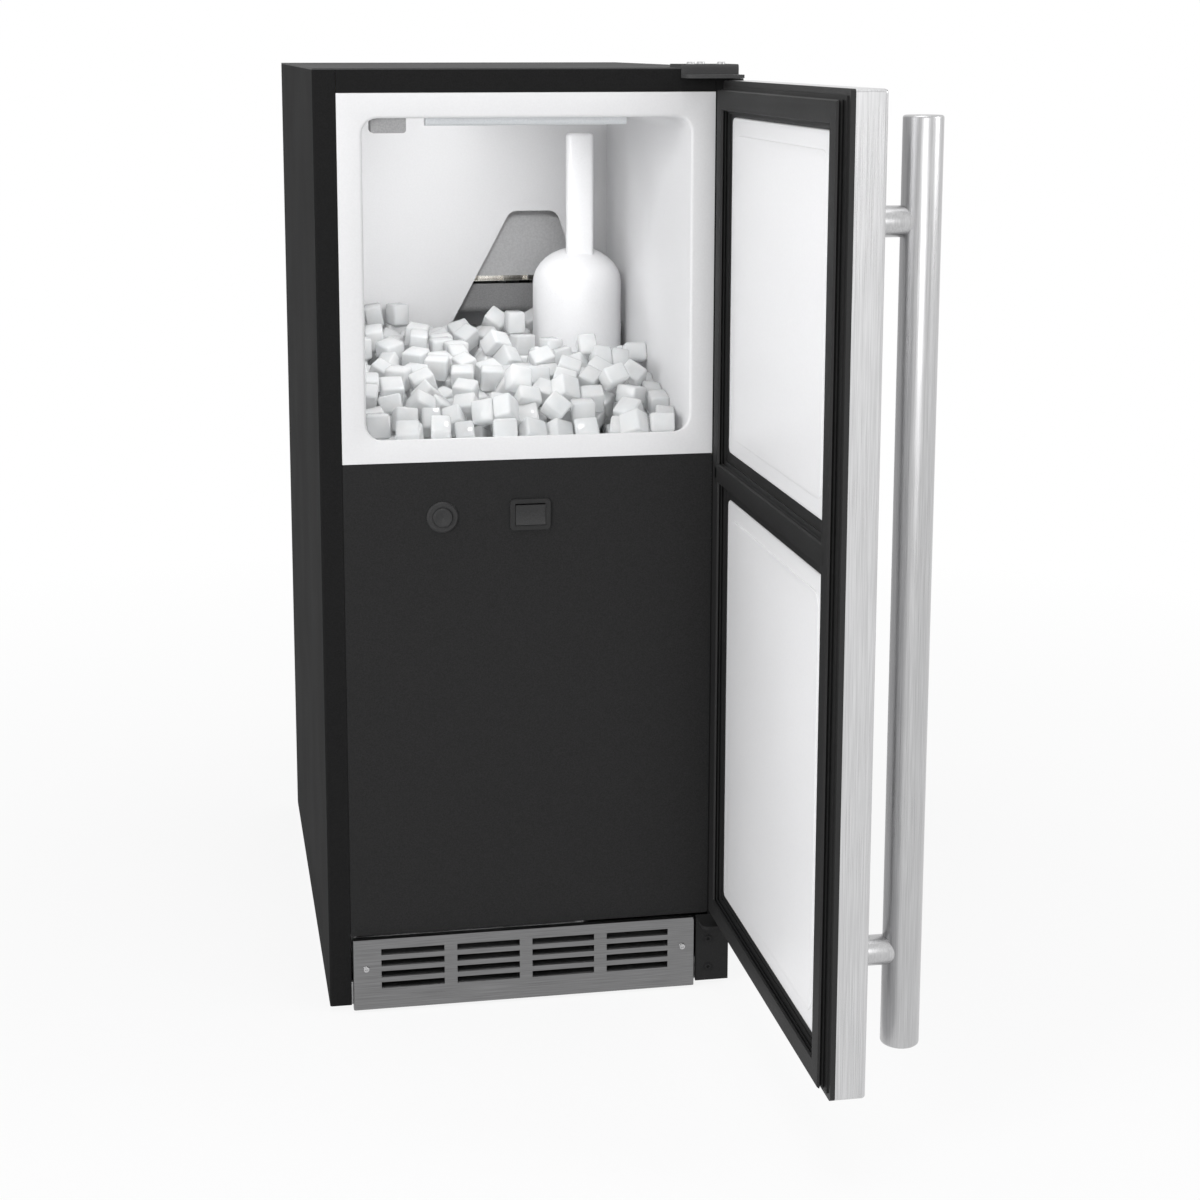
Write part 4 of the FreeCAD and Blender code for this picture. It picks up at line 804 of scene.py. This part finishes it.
def at_scoop(x, y, margin):
    """True for a place under the scoop's bowl, or within a margin of it."""
    beside = abs(x - scoop_place.x) < bowl_radius + margin
    return beside and abs(y - scoop_place.y + bowl_radius / 2) < bowl_radius / 2 + margin


def bed_top(x, y):
    """Top of the firm ice below the loose cubes, or of the lip where that is higher."""
    if at_scoop(x, y + bed_ahead, bed_margin):
        firm = scoop_bed
    elif y > ridge_y + cube_size.y:
        firm = heap_back - one_layer
    else:
        firm = min(heap_top(x, y), ridge) - loose_depth
    return max(firm, lip_top(y))


print("scoop stands on firm ice at", round(scoop_bed, 3), "m")

# %% List what the cubes fall on or against
def fixed_places():
    """Size and middle of every box that the cubes fall on or against."""
    columns, rows = 12, 20
    tile_rise, wall_thickness, wall_rise = 0.2, 0.05, 0.5
    front_gap = 6 * mm
    left = middle_x - mouth_half
    deep = bin_back - face_y
    tile = Vector((2 * mouth_half / columns, deep / rows, tile_rise))
    boxes = []
    for i in range(columns):
        for j in range(rows):
            x = left + (i + 0.5) * tile.x
            y = face_y + (j + 0.5) * tile.y
            boxes.append((tile, Vector((x, y, bed_top(x, y) - tile.z / 2))))
    side = Vector((wall_thickness, 2 * deep, wall_rise))
    end = Vector((2 * mouth_half, wall_thickness, wall_rise))
    for way in (-1, 1):
        boxes.append((side, Vector((middle_x + way * (mouth_half + side.x / 2), face_y, heap_back))))
    boxes.append((end, Vector((middle_x, face_y + front_gap - end.y / 2, heap_back))))
    boxes.append((end, Vector((middle_x, bin_back + end.y / 2, heap_back))))
    bowl = Vector((2 * bowl_radius, bowl_radius, bowl_height))
    boxes.append((bowl, scoop_place + Vector((0, -bowl.y, bowl.z)) / 2))
    cover = cover_high - cover_low
    boxes.append((cover, (cover_low + cover_high) / 2))
    return boxes


fixed_boxes = fixed_places()
print("fixed boxes:", len(fixed_boxes))

# %% Choose where the cubes start
def start_places(dice):
    """Where each cube starts, turned at random, in as many layers as the heap has room for."""
    spacing = 27 * mm
    first_row = 30 * mm
    scoop_margin = 17 * mm
    sway, lift = 2, 6
    first_drop, layer_drop = 20 * mm, 31 * mm
    most_layers, extra_layers = 6, 2
    least_room = 0.7
    columns = int((2 * mouth_half - cube_size.x) / spacing)
    rows = int((bin_back - face_y - cube_size.y) / spacing)
    places = []
    for layer in range(most_layers):
        for j in range(rows):
            for i in range(columns):
                x = middle_x + (i - (columns - 1) / 2) * spacing
                y = face_y + first_row + j * spacing
                bed = bed_top(x, y)
                shift = (dice.uniform(-sway, sway), dice.uniform(-sway, sway), dice.uniform(0, lift))
                turn = [dice.uniform(-math.pi, math.pi) for _ in range(3)]
                room = heap_top(x, y) - bed
                if at_scoop(x, y, scoop_margin):
                    room = 0.0
                elif y > ridge_y + cube_size.y / 2:
                    room = min(room, one_layer)
                elif at_scoop(x, y + spacing, scoop_margin):
                    room += extra_layers * layer_rise
                if (layer + least_room) * layer_rise < room:
                    start = Vector((x, y, bed + first_drop + layer * layer_drop))
                    places.append((start + Vector(shift) * mm, turn))
    return places


seed = 7
starts = start_places(random.Random(seed))
print("cubes to drop:", len(starts))

# %% Drop them and let them settle
def falling_block(size, place, turn, kind, enlarge):
    """Box that takes part in the fall, many times its real size, which the solver handles better."""
    block = box_mesh(-size / 2 * enlarge, size / 2 * enlarge)
    item = bpy.data.objects.new("block", as_mesh("block", block))
    item.location = place * enlarge
    item.rotation_euler = turn
    scene = bpy.context.scene
    scene.collection.objects.link(item)
    scene.rigidbody_world.collection.objects.link(item)
    item.rigid_body.type = kind
    item.rigid_body.collision_shape = "BOX"
    item.rigid_body.friction = 0.7
    item.rigid_body.restitution = 0.0
    item.rigid_body.use_margin = True
    item.rigid_body.collision_margin = 0.002
    item.rigid_body.linear_damping = 0.25
    item.rigid_body.angular_damping = 0.4
    return item


def settle_cubes():
    """Where the dropped cubes come to rest, as matrices in metres."""
    enlarge = 20.0
    frames = 75
    scene = bpy.context.scene
    bpy.ops.rigidbody.world_add()
    scene.rigidbody_world.collection = bpy.data.collections.new("falling")
    scene.rigidbody_world.point_cache.frame_end = frames
    fixed = [falling_block(size, place, (0, 0, 0), "PASSIVE", enlarge) for size, place in fixed_boxes]
    cubes = [falling_block(cube_size, place, turn, "ACTIVE", enlarge) for place, turn in starts]
    for number in range(1, frames + 1):
        scene.frame_set(number)
    rest = [item.matrix_world.copy() for item in cubes]
    scene.frame_set(1)
    bpy.ops.rigidbody.world_remove()
    for item in fixed + cubes:
        mesh = item.data
        bpy.data.objects.remove(item)
        bpy.data.meshes.remove(mesh)
    for matrix in rest:
        matrix.translation /= enlarge
    return rest


cube_places = settle_cubes()
print("cubes at rest:", len(cube_places))

# %% Leave out the stray cubes
stray_rise = 30 * mm
stray_front = 3 * mm


def in_the_way(matrix):
    """True for a cube that rolled out of the heap or against the scoop or the cover."""
    half = cube_size / 2
    signs = [(x, y, z) for x in (-1, 1) for y in (-1, 1) for z in (-1, 1)]
    corners = [matrix @ Vector((x * half.x, y * half.y, z * half.z)) for x, y, z in signs]
    low = Vector(min(corner[k] for corner in corners) for k in range(3))
    high = Vector(max(corner[k] for corner in corners) for k in range(3))
    beside = low.x < scoop_high.x and high.x > scoop_low.x
    in_scoop = beside and low.y < scoop_place.y + mm and high.y > scoop_low.y and high.z > scoop_low.z
    in_cover = high.z > cover_low.z - mm and high.y > cover_low.y - mm
    lost = high.z > ridge + stray_rise or low.y < face_y + stray_front or low.z < bin_floor
    return in_scoop or in_cover or lost


kept_places = [matrix for matrix in cube_places if not in_the_way(matrix)]
print("cubes shown:", len(kept_places))

# %% Freeze the cubes
def clear_ice():
    """Clear ice, clouded in places and worn smooth by melting."""
    material, tree, shader = start_finish("clear_ice", IOR=1.31, Transmission_Weight=0.44)
    cloud = grain_noise(tree, 70.0, detail=3.0)
    frost, clear = (0.95, 0.97, 0.98), (1.0, 1.0, 1.0)
    tree.links.new(two_colours(tree, cloud, frost, clear), shader.inputs["Base Color"])
    tree.links.new(spread(tree, cloud, 0.02, 0.16), shader.inputs["Roughness"])
    melt = add(tree, "Bump", Strength=0.25, Distance=0.002, Height=grain_noise(tree, 110.0, detail=2.0))
    tree.links.new(melt.outputs["Normal"], shader.inputs["Normal"])
    return material


cube_edge = 2.4 * mm
cube = box_mesh(-cube_size / 2, cube_size / 2)
roll(cube, cube.edges, cube_edge, segments=2)
heap = bmesh.new()
add_copies(heap, as_mesh("cube", cube), kept_places)
piece("ice_cubes", heap, clear_ice(), "cabinet", ["ice_pile"], sharp=60)

# %% Lay the firm ice under them
bed_gap = 4 * mm
bed_front = face_y + 22 * mm
bed_lift = 2 * mm
bed_sheet = 1.5 * mm
bed_width = 2 * (mouth_half - bed_gap)
bed_depth = bin_back - bed_gap - bed_front
bed = bmesh.new()
bmesh.ops.create_grid(bed, x_segments=24, y_segments=40, size=0.5)
for vert in bed.verts:
    x = middle_x + vert.co.x * bed_width
    y = bed_front + (vert.co.y + 0.5) * bed_depth
    vert.co = Vector((x, y, bed_top(x, y) + bed_lift))
sunk = new_verts(bmesh.ops.extrude_face_region(bed, geom=bed.faces[:])["geom"])
bmesh.ops.translate(bed, vec=(0, 0, -bed_sheet), verts=sunk)
packed_ice = finish(
    "packed_ice", (0.90, 0.93, 0.95), (0.97, 0.98, 0.99), grain=120, rough=(0.3, 0.5), relief=0.1
)
piece("ice_bed", bed, packed_ice, "cabinet")

# %% [markdown]
# ## Fasteners
# The roof bracket, the lower hinge, the toe grille and the back are held by pan-head screws.
# Each could be an object of its own, but one piece for each group keeps the list of pieces
# short. One head is turned from a cone with a socket sunk into its top, and copied to every
# place, facing out of the sheet that it holds.

# %% Turn one screw head and copy it
head_sides = 20


def screw_head(radius, height):
    """Pan head with a socket sunk into its crown."""
    crown_radius = radius * 0.82
    socket_rim = radius * 0.36
    socket_draft = radius * 0.04
    socket_depth = height * 0.7
    made = bmesh.new()
    bmesh.ops.create_cone(
        made, cap_ends=True, segments=head_sides, radius1=radius, radius2=crown_radius, depth=height,
        matrix=Matrix.Translation((0, 0, height / 2)),
    )
    crown = max(made.faces, key=lambda f: f.calc_center_median().z)
    bmesh.ops.inset_region(made, faces=[crown], thickness=socket_rim)
    bmesh.ops.inset_region(made, faces=[crown], thickness=socket_draft, depth=-socket_depth)
    return as_mesh("screw", made)


def screws(name, places, material, out, radius):
    """One piece with a head at every place, facing out."""
    turn = Vector(out).to_track_quat("Z", "Y").to_matrix().to_4x4()
    made = bmesh.new()
    height = radius * 0.5
    add_copies(made, screw_head(radius, height), [Matrix.Translation(place) @ turn for place in places])
    piece(name, made, material, "cabinet")


print("screw heads have", head_sides, "sides")

# %% Set the screws of the hinges and the grille
roof_low, roof_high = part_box("top_hinge_bracket")
roof_x = (roof_low.x + roof_high.x) / 2
roof_pattern = ((-14, 14), (14, 14), (0, 34))
roof_places = [(roof_x + x * mm, face_y + y * mm, roof_high.z) for x, y in roof_pattern]
screws("roof_screws", roof_places, zinc_plate, out=(0, 0, 1), radius=4 * mm)

foot_low, foot_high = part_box("bottom_hinge_bracket")
foot_x = (foot_low.x + foot_high.x) / 2 - 4 * mm
hinge_plate = 3 * mm
foot_face = face_y - panel_gap - hinge_plate
foot_rises = (14, 42)
foot_places = [(foot_x, foot_face, foot_low.z + z * mm) for z in foot_rises]
screws("foot_screws", foot_places, black_coat, out=(0, -1, 0), radius=3.6 * mm)

grille_low, grille_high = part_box("toe_grille")
grille_z = grille_low.z + 40 * mm
grille_edge = 12 * mm
grille_sides = (grille_low.x + grille_edge, grille_high.x - grille_edge)
grille_places = [(x, grille_low.y, grille_z) for x in grille_sides]
screws("grille_screws", grille_places, zinc_plate, out=(0, -1, 0), radius=3.2 * mm)

# %% Set the screws of the back
back_low, back_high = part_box("back_panel")
back_edge = 9 * mm
back_rows = 5
back_step = (back_high.z - back_low.z - 2 * back_edge) / (back_rows - 1)
back_places = [
    (x, back_high.y, back_low.z + back_edge + k * back_step)
    for x in (back_low.x + back_edge, back_high.x - back_edge)
    for k in range(back_rows)
]
back_places += [(middle_x, back_high.y, z) for z in (back_low.z + back_edge, back_high.z - back_edge)]
screws("back_screws", back_places, zinc_plate, out=(0, 1, 0), radius=4 * mm)

# %% [markdown]
# ## Floor, backdrop and light
# The picture is a cut-out on white. A plain white backdrop would turn grey away from the lamps.
# So the floor and the world show white to the camera, and to metal and glass that mirror them,
# while a part of the floor's own shading is left, so that the machine still stands in its shadow.
# Four soft lamps light it, from the left, the front, the right and above, the left one strongest.
# A fifth, small one hangs behind the bin's light bar.

# %% Tell direct looks from bounced light
def combine(tree, operation, first, second):
    """Two values joined by a Math node."""
    joined = add(tree, "Math")
    joined.operation = operation
    tree.links.new(first, joined.inputs[0])
    tree.links.new(second, joined.inputs[1])
    return joined.outputs[0]


def seen_directly(tree):
    """1 for rays from the camera, a mirror or glass, and 0 for light that bounces."""
    path = tree.nodes.new("ShaderNodeLightPath").outputs
    mirrored = combine(tree, "MAXIMUM", path["Is Camera Ray"], path["Is Glossy Ray"])
    return combine(tree, "MAXIMUM", mirrored, path["Is Transmission Ray"])


print("materials before the floor:", len(bpy.data.materials))

# %% Lay the floor
floor_radius = 30.0


def studio_floor():
    """Pale paper that shows white, apart from a little shade near the machine."""
    material = bpy.data.materials.new("studio_floor")
    material.use_nodes = True
    tree = material.node_tree
    tree.nodes.remove(tree.nodes["Principled BSDF"])
    paper = add(tree, "BsdfDiffuse")
    tint = two_colours(tree, grain_noise(tree, 3.0), grey(0.88), grey(0.90))
    tree.links.new(tint, paper.inputs["Color"])
    glow = add(tree, "Emission", Color=(1, 1, 1, 1), Strength=1.0)
    where = tree.nodes.new("ShaderNodeTexCoord").outputs["Object"]
    away = add(tree, "VectorMath", Vector=where)
    away.operation = "LENGTH"
    far = {"Value": away.outputs["Value"], "From_Min": 0.6, "From_Max": 1.8, "To_Min": 0.86, "To_Max": 1.0}
    blank = add(tree, "MapRange", **far).outputs["Result"]
    mixed = tree.nodes.new("ShaderNodeMixShader")
    tree.links.new(combine(tree, "MULTIPLY", seen_directly(tree), blank), mixed.inputs[0])
    tree.links.new(paper.outputs[0], mixed.inputs[1])
    tree.links.new(glow.outputs[0], mixed.inputs[2])
    tree.links.new(mixed.outputs[0], tree.nodes["Material Output"].inputs["Surface"])
    return material


floor_mesh = bmesh.new()
bmesh.ops.create_circle(floor_mesh, cap_ends=True, segments=64, radius=floor_radius)
floor_data = as_mesh("floor", floor_mesh)
floor_data.materials.append(studio_floor())
floor = bpy.data.objects.new("floor", floor_data)
bpy.context.collection.objects.link(floor)
print("floor radius", floor_radius, "m")

# %% Light the world
ambient = 0.5
world = bpy.data.worlds.new("studio")
bpy.context.scene.world = world
world.use_nodes = True
sky = world.node_tree.nodes["Background"]
sky.inputs["Color"].default_value = (1, 1, 1, 1)
level = add(world.node_tree, "MapRange", Value=seen_directly(world.node_tree), To_Min=ambient, To_Max=1.0)
world.node_tree.links.new(level.outputs["Result"], sky.inputs["Strength"])
print("ambient", ambient)

# %% Hang the lamps
def soft_lamp(name, place, aim, size, power, beam=math.pi):
    """Round lamp that shines from a place towards an aim."""
    data = bpy.data.lights.new(name, "AREA")
    data.shape = "DISK"
    data.size = size
    data.energy = power
    data.spread = beam
    lamp = bpy.data.objects.new(name, data)
    lamp.location = place
    lamp.rotation_euler = (Vector(aim) - Vector(place)).to_track_quat("-Z", "Y").to_euler()
    lamp.visible_camera = False
    bpy.context.collection.objects.link(lamp)


middle = (cad_low + cad_high) / 2
soft_lamp("left_lamp", (-2.8, -2.1, 1.4), middle, size=1.6, power=56)
soft_lamp("front_lamp", (0.0, -3.4, 1.1), middle, size=1.6, power=15)
soft_lamp("right_lamp", (2.8, -1.4, 1.8), middle, size=1.4, power=24)
soft_lamp("top_lamp", (-0.2, -0.6, 3.0), middle, size=1.8, power=18)

light_low, light_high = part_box("bin_light")
light_middle = (light_low + light_high) / 2
lamp_behind = 40 * mm
lamp_below = 16 * mm
lamp_place = Vector((light_middle.x, light_high.y + lamp_behind, light_low.z - lamp_below))
lamp_aim = lamp_place + Vector((-0.15, 0.29, -0.25))
soft_lamp("bin_lamp", lamp_place, lamp_aim, size=0.06, power=0.42, beam=math.radians(140))
print("lamps:", len(bpy.data.lights))
